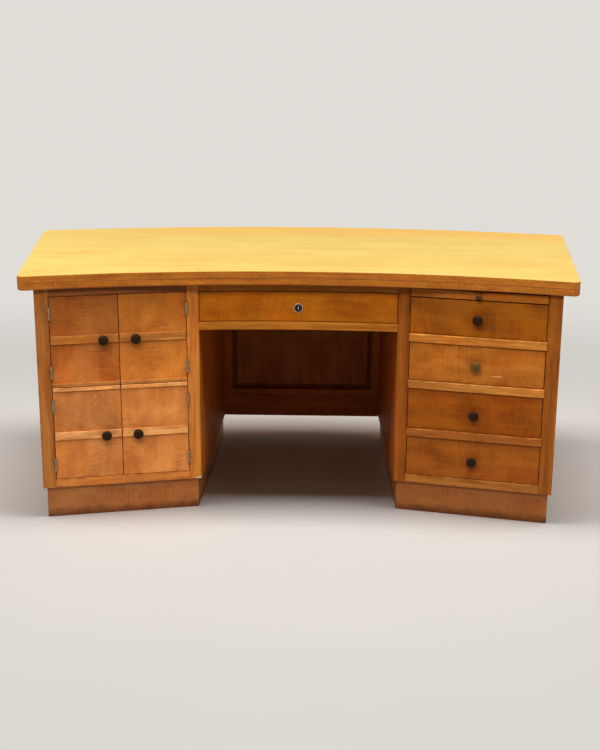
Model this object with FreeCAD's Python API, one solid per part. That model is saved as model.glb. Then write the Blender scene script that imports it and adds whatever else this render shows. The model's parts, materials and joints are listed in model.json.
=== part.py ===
import FreeCAD, Part
import math
import os

# A kneehole desk with a concave top. The front faces -Y, +Z is up, lengths are in millimetres.
# The left pedestal holds two pairs of doors, the right one a writing slide over four drawers.

V = FreeCAD.Vector

# Top: two boards with one outline, bowed away from the sitter
DESK_HEIGHT = 760.0
TOP_BOARD_T = 22.0
UNDER_BOARD_T = 21.0
FRONT_WIDTH = 1624.0
BACK_WIDTH = 1768.0
END_DEPTH = 750.0
FRONT_BOW = 116.0
BACK_BOW = 110.0
FRONT_CORNER_R = 20.0
BACK_CORNER_R = 30.0
UPPER_EDGE_R = 2.0
LOWER_EDGE_R = 5.0
SEAM_CHAMFER = 0.6

# Plan of the pedestals under the top
END_OVERHANG = 42.0
OUTER_OVERHANG = 17.5
INNER_OVERHANG = 36.5
BACK_OVERHANG = 38.0
KNEE_FRONT_WIDTH = 598.0
KNEE_BACK_WIDTH = 543.0

# Pedestal boards
SIDE_T = 20.0
BACK_T = 12.0
BOTTOM_T = 18.0
STILE_D = 22.0
INNER_STILE_W = 36.0
OUTER_STILE_W = 40.0
BOTTOM_RAIL_H = 26.0
TOP_RAIL_H = 24.0
SHELF_T = 18.0
SHELF_SETBACK = 70.0

# Plinths
PLINTH_H = 97.0
PLINTH_RECESS = 10.0
PLINTH_T = 18.0

# Fronts: proud strips at three levels on both pedestals, openings counted from the top
STRIP_H = 24.5
STRIP_PROUD = 5.0
STRIP_EDGE_R = 1.2
OPENING_SHARES = [0.2297, 0.2482, 0.2636, 0.2585]
REVEAL = 2.0
RAIL_D = 50.0
FACE_EDGE_R = 0.8

# Doors and their butt hinges
DOOR_T = 20.0
BATTEN_INSET = 1.0
KNOB_FROM_MEETING = 47.5
HINGE_H = 40.0
HINGE_INSET = 48.0
LOW_PAIR_TOP_INSET = 56.0
LEAF_T = 0.9
LEAF_W = 18.0
LEAF_START = 0.5
PIN_OUT = 4.6
PIN_R = 1.5
BARREL_R = 4.0
KNUCKLE_GAP = 0.3
FIT_CLEARANCE = 0.05

# Knobs, as turned profiles: shares of the radius and of the length
KNOB_D = 31.0
KNOB_L = 25.0
SLIDE_KNOB_D = 19.0
SLIDE_KNOB_L = 17.0
KNOB_PROFILE_SHARES = [(0.0, 0.0), (0.50, 0.0), (0.42, 0.26), (0.60, 0.48), (1.0, 0.72), (0.86, 0.92), (0.0, 1.0)]

# Drawers in the right pedestal, each knob a little below the middle of its front, from the top down
FRONT_T = 20.0
FRONT_RECESS = 1.5
KNOB_DROPS = [0.0, 0.0, 6.0, 1.5]
BOX_GAP = 4.0
BOX_T = 12.0
BOX_DROP = 16.0
BOX_BACK_ROOM = 25.0
BOX_BOTTOM_T = 6.0
BOX_BOTTOM_LIFT = 8.0
RUNNER_T = 18.0
RUNNER_LEDGE = 8.0
GUIDE_W = 12.0
GUIDE_H = 14.0
RUN_CLEARANCE = 0.8

# Writing slide
SLIDE_T = 24.0
SLIDE_HEADROOM = 7.0
SLIDE_LEDGE = 14.0
SLIDE_LEDGE_T = 10.0
SLIDE_PLAY = 0.5
SLIDE_BACK_ROOM = 40.0

# Centre drawer, its rails and runners
CENTRE_TOP_RAIL_H = 26.0
CENTRE_OPENING_H = 94.5
CENTRE_RAIL_H = 24.0
CENTRE_RAIL_D = 45.0
CENTRE_RECESS = 5.0
CENTRE_BOX_W = 500.0
CENTRE_BOX_DROP = 16.0
CENTRE_BOX_L = 440.0
CENTRE_RUNNER_T = 14.0
CENTRE_RUNNER_EXTRA = 30.0

# Lock in the centre drawer: a plug whose pin lifts a bolt
LOCK_RING_R = 14.5
LOCK_RING_T = 3.0
LOCK_BARREL_R = 10.0
LOCK_PLUG_R = 7.0
LOCK_PLUG_RECESS = 0.6
LOCK_DROP = 4.5
LOCK_CASE_W = 48.0
LOCK_WALL = 2.0
BOLT_W = 26.0
BOLT_T = 7.0
BOLT_TRAVEL = 8.0
BOLT_TAIL = 30.0
BOLT_PLAY = 0.3
CAM_PIN_R = 1.3
CAM_PLAY = 0.4
KEY_SLOT_W = 2.2
KEY_SLOT_H = 9.0
KEY_SLOT_DEPTH = 12.0
MORTISE_PLAY = 0.6

# Framed panel behind the knees
PANEL_INSET = 42.0
FRAME_T = 25.0
FRAME_STILE_W = 28.0
PANEL_T = 8.0
PANEL_RECESS = 12.0
LOWER_RAIL_H = 76.0
LOWER_RAIL_END_GAP = 1.5
LEDGE_GAP = 3.0
LEDGE_H = 20.0
LEDGE_PROUD = 4.0
UPPER_RAIL_H = 80.0

# Every cut runs this far past the faces that it opens
OVERRUN = 2.0

# Points closer than this count as one
NEARNESS = 0.01

PARTS = {}


def add(name, *shapes):
    """File solids under the node that they belong to."""
    PARTS.setdefault(name, []).extend(shapes)


# Plan geometry: lines as (point, direction), arcs about one centre in front of the desk

FRONT_HALF = FRONT_WIDTH / 2
BACK_HALF = BACK_WIDTH / 2
FRONT_R = (FRONT_HALF ** 2 + FRONT_BOW ** 2) / (2 * FRONT_BOW)
BACK_R = (BACK_HALF ** 2 + BACK_BOW ** 2) / (2 * BACK_BOW)


def front_y(x, behind=0.0):
    """The front edge's arc, or one concentric with it further back."""
    return FRONT_BOW - FRONT_R + math.sqrt((FRONT_R + behind) ** 2 - x ** 2)


def back_y(x):
    """The back edge's arc."""
    return END_DEPTH + BACK_BOW - BACK_R + math.sqrt(BACK_R ** 2 - x ** 2)


def line(a, b, inset=0.0):
    """The line from a to b, moved to its left by inset."""
    along = (b - a).normalize()
    return a + V(-along.y, along.x, 0) * inset, along


def meet(p, q):
    """The point where two lines cross."""
    turn = p[1].x * q[1].y - p[1].y * q[1].x
    gap = q[0] - p[0]
    return p[0] + p[1] * ((gap.x * q[1].y - gap.y * q[1].x) / turn)


def enclosed(*lines):
    """The corners of the shape that the lines enclose, each line meeting the next."""
    return [meet(p, q) for p, q in zip(lines, lines[1:] + lines[:1])]


def lane(x):
    """A line along the desk's depth."""
    return V(x, 0, 0), V(0, 1, 0)


def row(y):
    """A line along the desk's width."""
    return V(0, y, 0), V(1, 0, 0)


# Corners of the right pedestal, and its edges moved inwards
IN_FRONT = V(KNEE_FRONT_WIDTH / 2, front_y(KNEE_FRONT_WIDTH / 2, INNER_OVERHANG), 0)
OUT_FRONT = V(FRONT_HALF - END_OVERHANG, front_y(FRONT_HALF - END_OVERHANG, OUTER_OVERHANG), 0)
OUT_BACK = V(BACK_HALF - END_OVERHANG, back_y(BACK_HALF - END_OVERHANG) - BACK_OVERHANG, 0)
IN_BACK = V(KNEE_BACK_WIDTH / 2, back_y(KNEE_BACK_WIDTH / 2) - BACK_OVERHANG, 0)
FRONT_LEN = (OUT_FRONT - IN_FRONT).Length
FRONT_DIR = (OUT_FRONT - IN_FRONT).normalize()
INWARD = V(-FRONT_DIR.y, FRONT_DIR.x, 0)


def front(inset=0.0):
    return line(IN_FRONT, OUT_FRONT, inset)


def outer(inset=0.0):
    return line(OUT_FRONT, OUT_BACK, inset)


def back(inset=0.0):
    return line(OUT_BACK, IN_BACK, inset)


def inner(inset=0.0):
    return line(IN_BACK, IN_FRONT, inset)


def across(u):
    """A line square to the pedestal's front, u from its inner corner."""
    return IN_FRONT + FRONT_DIR * u, INWARD


# Levels
CASE_TOP = DESK_HEIGHT - TOP_BOARD_T - UNDER_BOARD_T
SLIDE_Z1 = CASE_TOP - SLIDE_HEADROOM
SLIDE_Z0 = SLIDE_Z1 - SLIDE_T
STACK_TOP = SLIDE_Z0 - REVEAL
STACK_BOTTOM = PLINTH_H + BOTTOM_RAIL_H
OPENING_SUM = STACK_TOP - STACK_BOTTOM - (len(OPENING_SHARES) - 1) * STRIP_H
BOTTOM_TOP = PLINTH_H + BOTTOM_T
DOOR_TOP = CASE_TOP - TOP_RAIL_H


def drawer_levels():
    """Bottom and top of each drawer opening, from the top one down."""
    top = STACK_TOP
    levels = []
    for share in OPENING_SHARES:
        bottom = top - share * OPENING_SUM
        levels.append((bottom, top))
        top = bottom - STRIP_H
    return levels


LEVELS = drawer_levels()
STRIPS = [(bottom - STRIP_H, bottom) for bottom, top in LEVELS[:-1]]
DOOR_SPLIT = sum(STRIPS[1]) / 2

# Sides of the openings in the pedestals' fronts
DOOR_IN = INNER_STILE_W
DOOR_OUT = FRONT_LEN - OUTER_STILE_W
DOOR_MEETING = (DOOR_IN + DOOR_OUT) / 2
# The drawers run straight back, so their lanes keep clear of the sides at the back too
RUNNER_REACH = GUIDE_W + RUN_CLEARANCE
LANE_IN = max((IN_FRONT + FRONT_DIR * DOOR_IN).x, meet(inner(SIDE_T), back(BACK_T)).x + RUNNER_REACH)
LANE_OUT = min((IN_FRONT + FRONT_DIR * DOOR_OUT).x, meet(outer(SIDE_T), back(BACK_T)).x - RUNNER_REACH)
BOX_IN = LANE_IN + BOX_GAP
BOX_OUT = LANE_OUT - BOX_GAP
FRONT_BACK = FRONT_RECESS + FRONT_T
BOX_BACK_Y = meet(back(BACK_T), lane(LANE_OUT)).y - BOX_BACK_ROOM
LEFT = -1
RIGHT = 1
SIDE_NAMES = {LEFT: "left", RIGHT: "right"}


# Solids

def prism(points, z0, z1, side=RIGHT):
    """A board with the given plan, mirrored for the left pedestal."""
    corners = [V(side * p.x, p.y, z0) for p in points]
    return Part.Face(Part.makePolygon(corners + corners[:1])).extrude(V(0, 0, z1 - z0))


def post(at, radius, z0, z1, side=RIGHT):
    """An upright cylinder."""
    return Part.makeCylinder(radius, z1 - z0, V(side * at.x, at.y, z0))


def arc_end(behind, end):
    """Where a line meets the arc that lies behind the top's front edge."""
    start, along = end
    centre = V(0, FRONT_BOW - FRONT_R, 0)
    offset = start - centre
    half = offset.dot(along)
    reach = -half + math.copysign(1, along.y) * math.sqrt(half ** 2 - offset.dot(offset) + (FRONT_R + behind) ** 2)
    return start + along * reach


def bowed(near, far, end, z0, z1):
    """A board between the pedestals whose two long faces follow the front arc, ending at a line and its mirror."""
    a = arc_end(near, end)
    b = arc_end(far, end)
    a_left = V(-a.x, a.y, 0)
    b_left = V(-b.x, b.y, 0)
    edges = [
        Part.Arc(a_left, V(0, front_y(0, near), 0), a).toShape(),
        Part.makeLine(a, b),
        Part.Arc(b, V(0, front_y(0, far), 0), b_left).toShape(),
        Part.makeLine(b_left, a_left),
    ]
    face = Part.Face(Part.Wire(edges))
    face.translate(V(0, 0, z0))
    return face.extrude(V(0, 0, z1 - z0))


def eased(shape, radius, chosen):
    """Round the edges that the test picks."""
    return shape.makeFillet(radius, [e for e in shape.Edges if chosen(e)])


def at_level(e, z):
    """Whether an edge lies at one height."""
    return all(abs(v.Point.z - z) < NEARNESS for v in e.Vertexes)


def level(e):
    return at_level(e, e.Vertexes[0].Point.z)


def upright(e):
    first, last = e.Vertexes[0].Point, e.Vertexes[-1].Point
    return not level(e) and abs(first.x - last.x) < NEARNESS and abs(first.y - last.y) < NEARNESS


def on_front(e, inset, side):
    """Whether an edge lies in the plane that is inset from a pedestal's front."""
    normal = V(side * INWARD.x, INWARD.y, 0)
    start = front(inset)[0]
    plane = V(side * start.x, start.y, 0).dot(normal)
    return all(abs(v.Point.dot(normal) - plane) < NEARNESS for v in e.Vertexes)


def on_arc(e, behind):
    """Whether an edge lies on the arc that is behind the top's front edge."""
    return all(abs(v.Point.y - front_y(v.Point.x, behind)) < NEARNESS for v in e.Vertexes)


def faced(points, z0, z1, inset, side=RIGHT):
    """A board whose edges round the pedestal's front are eased."""
    return eased(prism(points, z0, z1, side), FACE_EDGE_R, lambda e: on_front(e, inset, side))


def stile(points, side):
    """A stile with its upright front edges eased."""
    shape = prism(points, PLINTH_H, CASE_TOP, side)
    return eased(shape, FACE_EDGE_R, lambda e: upright(e) and on_front(e, 0.0, side))


def strip(inset0, inset1, side0, side1, z0, z1, side):
    """A proud strip on a pedestal's front, with its two long front edges eased."""
    shape = prism(enclosed(front(inset0), side0, front(inset1), side1), z0, z1, side)
    return eased(shape, STRIP_EDGE_R, lambda e: level(e) and on_front(e, inset0, side))


def knob(diameter, length, at, out):
    """A turned knob standing on the point at, along the direction out. Its crown is a cap of a sphere."""
    radius = diameter / 2
    axis0, foot, neck, under, rim, brow, tip = [V(r * radius, 0, h * length) for r, h in KNOB_PROFILE_SHARES]
    rise = tip.z - brow.z
    crown_r = (brow.x ** 2 + rise ** 2) / (2 * rise)
    half_turn = math.asin(brow.x / crown_r) / 2
    crown = V(crown_r * math.sin(half_turn), 0, tip.z - crown_r * (1 - math.cos(half_turn)))
    edges = [
        Part.makeLine(axis0, foot),
        Part.Arc(foot, neck, under).toShape(),
        Part.Arc(under, rim, brow).toShape(),
        Part.Arc(brow, crown, tip).toShape(),
        Part.makeLine(tip, axis0),
    ]
    shape = Part.Face(Part.Wire(edges)).revolve(V(0, 0, 0), V(0, 0, 1), 360)
    shape.Placement = FreeCAD.Placement(at, FreeCAD.Rotation(V(0, 0, 1), out))
    return shape


def front_point(u, inset, z, side):
    """A point on a pedestal's front and the direction out of it."""
    p = IN_FRONT + FRONT_DIR * u + INWARD * inset
    return V(side * p.x, p.y, z), V(-side * INWARD.x, -INWARD.y, 0)


def top_outline(z):
    """The top's outline as a face."""
    corners = [V(-FRONT_HALF, 0, z), V(FRONT_HALF, 0, z), V(BACK_HALF, END_DEPTH, z), V(-BACK_HALF, END_DEPTH, z)]
    edges = [
        Part.Arc(corners[0], V(0, FRONT_BOW, z), corners[1]).toShape(),
        Part.makeLine(corners[1], corners[2]),
        Part.Arc(corners[2], V(0, END_DEPTH + BACK_BOW, z), corners[3]).toShape(),
        Part.makeLine(corners[3], corners[0]),
    ]
    return Part.Face(Part.Wire(edges))


def top_boards():
    seam = CASE_TOP + UNDER_BOARD_T
    for name, z0, z1 in (("top_under_board", CASE_TOP, seam), ("top_board", seam, DESK_HEIGHT)):
        board = top_outline(z0).extrude(V(0, 0, z1 - z0))
        board = eased(board, FRONT_CORNER_R, lambda e: upright(e) and e.BoundBox.YMax < END_DEPTH / 2)
        board = eased(board, BACK_CORNER_R, lambda e: upright(e) and e.BoundBox.YMin > END_DEPTH / 2)
        free, edge_r = (DESK_HEIGHT, UPPER_EDGE_R) if z1 > seam else (CASE_TOP, LOWER_EDGE_R)
        board = eased(board, edge_r, lambda e: at_level(e, free))
        board = board.makeChamfer(SEAM_CHAMFER, [e for e in board.Edges if at_level(e, seam)])
        add(name, board)


def carcass(side):
    """Sides, back and bottom of one pedestal."""
    name = SIDE_NAMES[side]
    outer_side = enclosed(front(STILE_D), outer(), back(), outer(SIDE_T))
    inner_side = enclosed(front(STILE_D), inner(SIDE_T), back(), inner())
    back_board = enclosed(back(), inner(SIDE_T), back(BACK_T), outer(SIDE_T))
    floor = enclosed(front(STILE_D), outer(SIDE_T), back(BACK_T), inner(SIDE_T))
    add(name + "_outer_side", prism(outer_side, PLINTH_H, CASE_TOP, side))
    add(name + "_inner_side", prism(inner_side, PLINTH_H, CASE_TOP, side))
    add(name + "_back", prism(back_board, PLINTH_H, CASE_TOP, side))
    add(name + "_bottom", prism(floor, PLINTH_H, BOTTOM_TOP, side))
    rings = []
    for inset in (PLINTH_RECESS, PLINTH_RECESS + PLINTH_T):
        rings.append(enclosed(front(inset), outer(inset), back(inset), inner(inset)))
    for i in range(len(rings[0])):
        j = i - 1
        mitred = [rings[0][j], rings[0][i], rings[1][i], rings[1][j]]
        add("plinths", prism(mitred, 0, PLINTH_H, side))


def cupboard_frame():
    """Stiles, rails and shelves of the left pedestal."""
    add("left_stiles", stile(enclosed(front(), across(DOOR_IN), front(STILE_D), inner()), LEFT))
    add("left_stiles", stile(enclosed(front(), outer(), front(STILE_D), across(DOOR_OUT)), LEFT))
    rail = enclosed(front(), across(DOOR_OUT), front(STILE_D), across(DOOR_IN))
    add("left_rails", prism(rail, DOOR_TOP, CASE_TOP, LEFT))
    add("left_rails", prism(rail, PLINTH_H, STACK_BOTTOM, LEFT))
    board = enclosed(front(STILE_D), outer(SIDE_T), back(BACK_T), inner(SIDE_T))
    add("left_sub_top", prism(board, CASE_TOP - BOTTOM_T, CASE_TOP, LEFT))
    shelf = enclosed(front(STILE_D + SHELF_SETBACK), outer(SIDE_T), back(BACK_T), inner(SIDE_T))
    divider_z = DOOR_SPLIT - SHELF_T / 2
    add("cupboard_shelves", prism(board, divider_z, divider_z + SHELF_T, LEFT))
    for floor, ceiling in ((BOTTOM_TOP, divider_z), (divider_z + SHELF_T, CASE_TOP - BOTTOM_T)):
        shelf_z = (floor + ceiling - SHELF_T) / 2
        add("cupboard_shelves", prism(shelf, shelf_z, shelf_z + SHELF_T, LEFT))


def butt_hinge(stile_edge, toward, z0):
    """Frame leaf, door leaf and pin of a hinge whose door lies toward one side of the stile's edge."""
    pin_line = across(stile_edge + toward * REVEAL / 2)
    pin_at = meet(front(-PIN_OUT), pin_line)
    third = HINGE_H / 3
    knuckles = {
        "frame": [(z0, z0 + third - KNUCKLE_GAP), (z0 + 2 * third + KNUCKLE_GAP, z0 + HINGE_H)],
        "door": [(z0 + third, z0 + 2 * third)],
    }
    edges = {"frame": (stile_edge, toward), "door": (stile_edge + toward * REVEAL, -toward)}
    bore = post(pin_at, PIN_R + FIT_CLEARANCE, z0 - OVERRUN, z0 + HINGE_H + OVERRUN, LEFT)
    leaves = {}
    for leaf, spans in knuckles.items():
        edge, inward = edges[leaf]
        sides = across(edge), across(edge + inward * LEAF_T)
        plate = enclosed(front(LEAF_START), sides[0], front(LEAF_W), sides[1])
        neck = enclosed(front(-PIN_OUT), sides[0], front(LEAF_START), sides[1])
        shape = prism(plate, z0, z0 + HINGE_H, LEFT)
        for low, high in spans:
            shape = shape.fuse(prism(neck, low, high, LEFT))
            shape = shape.fuse(post(pin_at, BARREL_R, low, high, LEFT))
        leaves[leaf] = shape.cut(bore).removeSplitter().Solids[0]
    return leaves["frame"], leaves["door"], post(pin_at, PIN_R, z0, z0 + HINGE_H, LEFT)


def door(name, edges, hinge_at, z0, z1, batten_levels, hinge_insets):
    """A door with its battens, knob and hinges. edges are the opening's two sides along the front."""
    low_u, high_u = sorted(edges)
    panel = enclosed(front(), across(high_u), front(DOOR_T), across(low_u))
    add(name + "_door", faced(panel, z0, z1, 0.0, LEFT))
    ends = across(high_u - BATTEN_INSET), across(low_u + BATTEN_INSET)
    for low, high in batten_levels:
        add(name + "_battens", strip(-STRIP_PROUD, 0.0, ends[0], ends[1], low, high, LEFT))
    toward = 1 if hinge_at < DOOR_MEETING else -1
    knob_u = DOOR_MEETING - toward * KNOB_FROM_MEETING
    full = max(batten_levels, key=lambda level: level[1] - level[0])
    at, out = front_point(knob_u, -STRIP_PROUD, sum(full) / 2, LEFT)
    add(name + "_knob", knob(KNOB_D, KNOB_L, at, out))
    for middle in (z0 + hinge_insets[0], z1 - hinge_insets[1]):
        frame_leaf, door_leaf, pin = butt_hinge(hinge_at, toward, middle - HINGE_H / 2)
        add("hinge_frame_leaves", frame_leaf)
        add(name + "_hinge_leaves", door_leaf)
        add("hinge_pins", pin)


def doors():
    half_gap = REVEAL / 2
    leaves = {
        "outer": (DOOR_OUT, (DOOR_MEETING + half_gap, DOOR_OUT - REVEAL)),
        "inner": (DOOR_IN, (DOOR_IN + REVEAL, DOOR_MEETING - half_gap)),
    }
    pairs = {
        "upper": (DOOR_SPLIT + half_gap, DOOR_TOP - REVEAL, STRIPS[0], (DOOR_SPLIT + half_gap, STRIPS[1][1])),
        "lower": (STACK_BOTTOM + REVEAL, DOOR_SPLIT - half_gap, STRIPS[2], (STRIPS[1][0], DOOR_SPLIT - half_gap)),
    }
    top_insets = {"upper": HINGE_INSET, "lower": LOW_PAIR_TOP_INSET}
    for pair, (z0, z1, full, half) in pairs.items():
        for leaf, (hinge_at, edges) in leaves.items():
            insets = HINGE_INSET, top_insets[pair]
            door(pair + "_" + leaf, edges, hinge_at, z0, z1, (full, half), insets)


def drawer_frame():
    """Stiles, rails, runners and slide channels of the right pedestal."""
    add("right_stiles", stile(enclosed(front(), lane(LANE_IN), front(STILE_D), inner()), RIGHT))
    add("right_stiles", stile(enclosed(front(), outer(), front(STILE_D), lane(LANE_OUT)), RIGHT))
    for z0, z1 in STRIPS:
        add("drawer_rails", strip(-STRIP_PROUD, RAIL_D, lane(LANE_OUT), lane(LANE_IN), z0, z1, RIGHT))
    rail = enclosed(front(), lane(LANE_OUT), front(STILE_D), lane(LANE_IN))
    add("drawer_rails", prism(rail, PLINTH_H, STACK_BOTTOM))
    box_sides = ((BOX_IN, 1), (BOX_OUT, -1))
    for bottom, top in LEVELS:
        lowest = bottom == LEVELS[-1][0]
        start = front(STILE_D) if lowest else front(RAIL_D)
        ledge_z = BOTTOM_TOP if lowest else bottom - RUNNER_T
        for side_x, inward in box_sides:
            guide_x = side_x - inward * RUN_CLEARANCE
            far_x = guide_x - inward * GUIDE_W
            ledge_x = side_x + inward * (BOX_T + RUNNER_LEDGE)
            ledge = enclosed(start, lane(ledge_x), back(BACK_T), lane(far_x))
            guide = enclosed(start, lane(guide_x), back(BACK_T), lane(far_x))
            runner = prism(ledge, ledge_z, bottom).fuse(prism(guide, bottom, bottom + GUIDE_H))
            add("drawer_runners", runner.removeSplitter().Solids[0])
    for side_x, inward in ((LANE_IN + REVEAL, 1), (LANE_OUT - REVEAL, -1)):
        guide_x = side_x - inward * RUN_CLEARANCE
        far_x = guide_x - inward * GUIDE_W
        block = enclosed(front(STILE_D), lane(side_x + inward * SLIDE_LEDGE), back(BACK_T), lane(far_x))
        room = enclosed(front(0), lane(side_x + inward * (SLIDE_LEDGE + OVERRUN)), back(0), lane(guide_x))
        channel = prism(block, SLIDE_Z0 - SLIDE_LEDGE_T, CASE_TOP)
        add("slide_runners", channel.cut(prism(room, SLIDE_Z0, SLIDE_Z1 + SLIDE_PLAY)))


def drawer(number, bottom, top):
    """A drawer with a skewed front and a box that runs straight back."""
    name = "drawer_" + str(number)
    face = enclosed(front(FRONT_RECESS), lane(LANE_OUT - REVEAL), front(FRONT_BACK), lane(LANE_IN + REVEAL))
    add(name + "_front", faced(face, bottom + REVEAL, top - REVEAL, FRONT_RECESS))
    behind = front(FRONT_BACK)
    rear = row(BOX_BACK_Y)
    in_face = BOX_IN + BOX_T
    out_face = BOX_OUT - BOX_T
    rim = top - BOX_DROP
    for near_x, far_x in ((BOX_IN, in_face), (out_face, BOX_OUT)):
        add(name + "_box", prism(enclosed(behind, lane(far_x), rear, lane(near_x)), bottom, rim))
    floor_z = bottom + BOX_BOTTOM_LIFT
    floor_top = floor_z + BOX_BOTTOM_T
    add(name + "_box", prism(enclosed(behind, lane(out_face), rear, lane(in_face)), floor_z, floor_top))
    back_board = enclosed(row(BOX_BACK_Y - BOX_T), lane(out_face), rear, lane(in_face))
    add(name + "_box", prism(back_board, floor_top, rim - BOX_BOTTOM_T))
    knob_z = (bottom + top) / 2 - KNOB_DROPS[number - 1]
    at, out = front_point((DOOR_IN + DOOR_OUT) / 2, FRONT_RECESS, knob_z, RIGHT)
    add(name + "_knob", knob(KNOB_D, KNOB_L, at, out))


def writing_slide():
    rear_y = meet(back(BACK_T), lane(LANE_OUT)).y - SLIDE_BACK_ROOM
    board = enclosed(front(FRONT_RECESS), lane(LANE_OUT - REVEAL), row(rear_y), lane(LANE_IN + REVEAL))
    add("writing_slide", faced(board, SLIDE_Z0, SLIDE_Z1, FRONT_RECESS))
    at, out = front_point((DOOR_IN + DOOR_OUT) / 2, FRONT_RECESS, (SLIDE_Z0 + SLIDE_Z1) / 2, RIGHT)
    add("slide_knob", knob(SLIDE_KNOB_D, SLIDE_KNOB_L, at, out))


# Centre drawer levels and depths
CENTRE_TOP = CASE_TOP - CENTRE_TOP_RAIL_H
CENTRE_BOTTOM = CENTRE_TOP - CENTRE_OPENING_H
CENTRE_FACE = INNER_OVERHANG + CENTRE_RECESS
CENTRE_FACE_BACK = CENTRE_FACE + FRONT_T
CENTRE_FRONT_Y = front_y(0, CENTRE_FACE)
CENTRE_FRONT_BACK_Y = front_y(0, CENTRE_FACE_BACK)
CENTRE_HALF_W = KNEE_FRONT_WIDTH / 2 - REVEAL
CENTRE_BOX_HALF = CENTRE_BOX_W / 2
CENTRE_BOX_END_Y = CENTRE_FRONT_BACK_Y + CENTRE_BOX_L
LOCK_Z = (CENTRE_TOP + CENTRE_BOTTOM) / 2 - LOCK_DROP
LOCK_CASE_T = 2 * LOCK_WALL + BOLT_T + 2 * BOLT_PLAY
LOCK_CASE_TOP = CENTRE_TOP - REVEAL
BOLT_Z = LOCK_Z - BOLT_TAIL / 2
CHANNEL_Z = BOLT_Z - BOLT_PLAY
CHANNEL_Y0 = CENTRE_FRONT_BACK_Y + LOCK_WALL
BOLT_Y0 = CHANNEL_Y0 + BOLT_PLAY
CAM_R = BOLT_TRAVEL / math.sqrt(2)


def box(x0, x1, y0, y1, z0, z1):
    return Part.makeBox(x1 - x0, y1 - y0, z1 - z0, V(x0, y0, z0))


def along_depth(x, z, radius, y0, y1):
    """A cylinder along the desk's depth."""
    return Part.makeCylinder(radius, y1 - y0, V(x, y0, z), V(0, 1, 0))


def centre_frame():
    """Rails and runners of the centre drawer. The upper rail has a mortise for the bolt."""
    upper = bowed(CENTRE_FACE, CENTRE_FACE + CENTRE_RAIL_D, inner(), CENTRE_TOP, CASE_TOP)
    half = BOLT_W / 2 + MORTISE_PLAY
    depth = BOLT_Y0 - MORTISE_PLAY, BOLT_Y0 + BOLT_T + MORTISE_PLAY
    mortise = box(-half, half, depth[0], depth[1], CENTRE_TOP - OVERRUN, CENTRE_TOP + BOLT_TRAVEL)
    add("centre_rails", upper.cut(mortise))
    low_z = CENTRE_BOTTOM - CENTRE_RAIL_H
    lower = bowed(INNER_OVERHANG, INNER_OVERHANG + CENTRE_RAIL_D, inner(), low_z, CENTRE_BOTTOM)
    arrises = [e for e in lower.Edges if level(e) and on_arc(e, INNER_OVERHANG)]
    add("centre_rails", lower.makeChamfer(FACE_EDGE_R, arrises))
    start = row(arc_end(CENTRE_FACE + CENTRE_RAIL_D, lane(0)).y)
    end = row(CENTRE_BOX_END_Y + CENTRE_RUNNER_EXTRA)
    ledge = enclosed(start, inner(), end, lane(CENTRE_BOX_HALF - BOX_T - RUNNER_LEDGE))
    guide = enclosed(start, inner(), end, lane(CENTRE_BOX_HALF + RUN_CLEARANCE))
    for side in (LEFT, RIGHT):
        runner = prism(ledge, CENTRE_BOTTOM - CENTRE_RUNNER_T, CENTRE_BOTTOM, side)
        runner = runner.fuse(prism(guide, CENTRE_BOTTOM, CENTRE_BOTTOM + GUIDE_H, side))
        add("centre_runners", runner.removeSplitter().Solids[0])


def centre_drawer():
    face = bowed(CENTRE_FACE, CENTRE_FACE_BACK, lane(CENTRE_HALF_W), CENTRE_BOTTOM + REVEAL, CENTRE_TOP - REVEAL)
    face = eased(face, FACE_EDGE_R, lambda e: on_arc(e, CENTRE_FACE))
    hole_r = LOCK_BARREL_R + BOLT_PLAY
    hole = along_depth(0, LOCK_Z, hole_r, CENTRE_FRONT_Y - OVERRUN, CENTRE_FRONT_BACK_Y + OVERRUN)
    add("centre_drawer_front", face.cut(hole))
    rim = CENTRE_TOP - CENTRE_BOX_DROP
    half = CENTRE_BOX_HALF
    inside = half - BOX_T
    floor_z = CENTRE_BOTTOM + BOX_BOTTOM_LIFT
    floor_top = floor_z + BOX_BOTTOM_T
    for x0, x1, z0, z1 in ((-half, -inside, CENTRE_BOTTOM, rim), (inside, half, CENTRE_BOTTOM, rim),
                           (-inside, inside, floor_z, floor_top)):
        add("centre_drawer_box", behind_face(x0, x1, z0, z1))
    back_y0 = CENTRE_BOX_END_Y - BOX_T
    add("centre_drawer_box", box(-inside, inside, back_y0, CENTRE_BOX_END_Y, floor_top, rim - BOX_BOTTOM_T))


def behind_face(x0, x1, z0, z1):
    """A board of the centre drawer's box, from the curved back of its front to the box's end."""
    a, middle, b = [arc_end(CENTRE_FACE_BACK, lane(x)) for x in (x0, (x0 + x1) / 2, x1)]
    corners = [b, V(x1, CENTRE_BOX_END_Y, 0), V(x0, CENTRE_BOX_END_Y, 0), a]
    edges = [Part.Arc(a, middle, b).toShape()]
    edges += [Part.makeLine(p, q) for p, q in zip(corners, corners[1:])]
    face = Part.Face(Part.Wire(edges))
    face.translate(V(0, 0, z0))
    return face.extrude(V(0, 0, z1 - z0))


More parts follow.
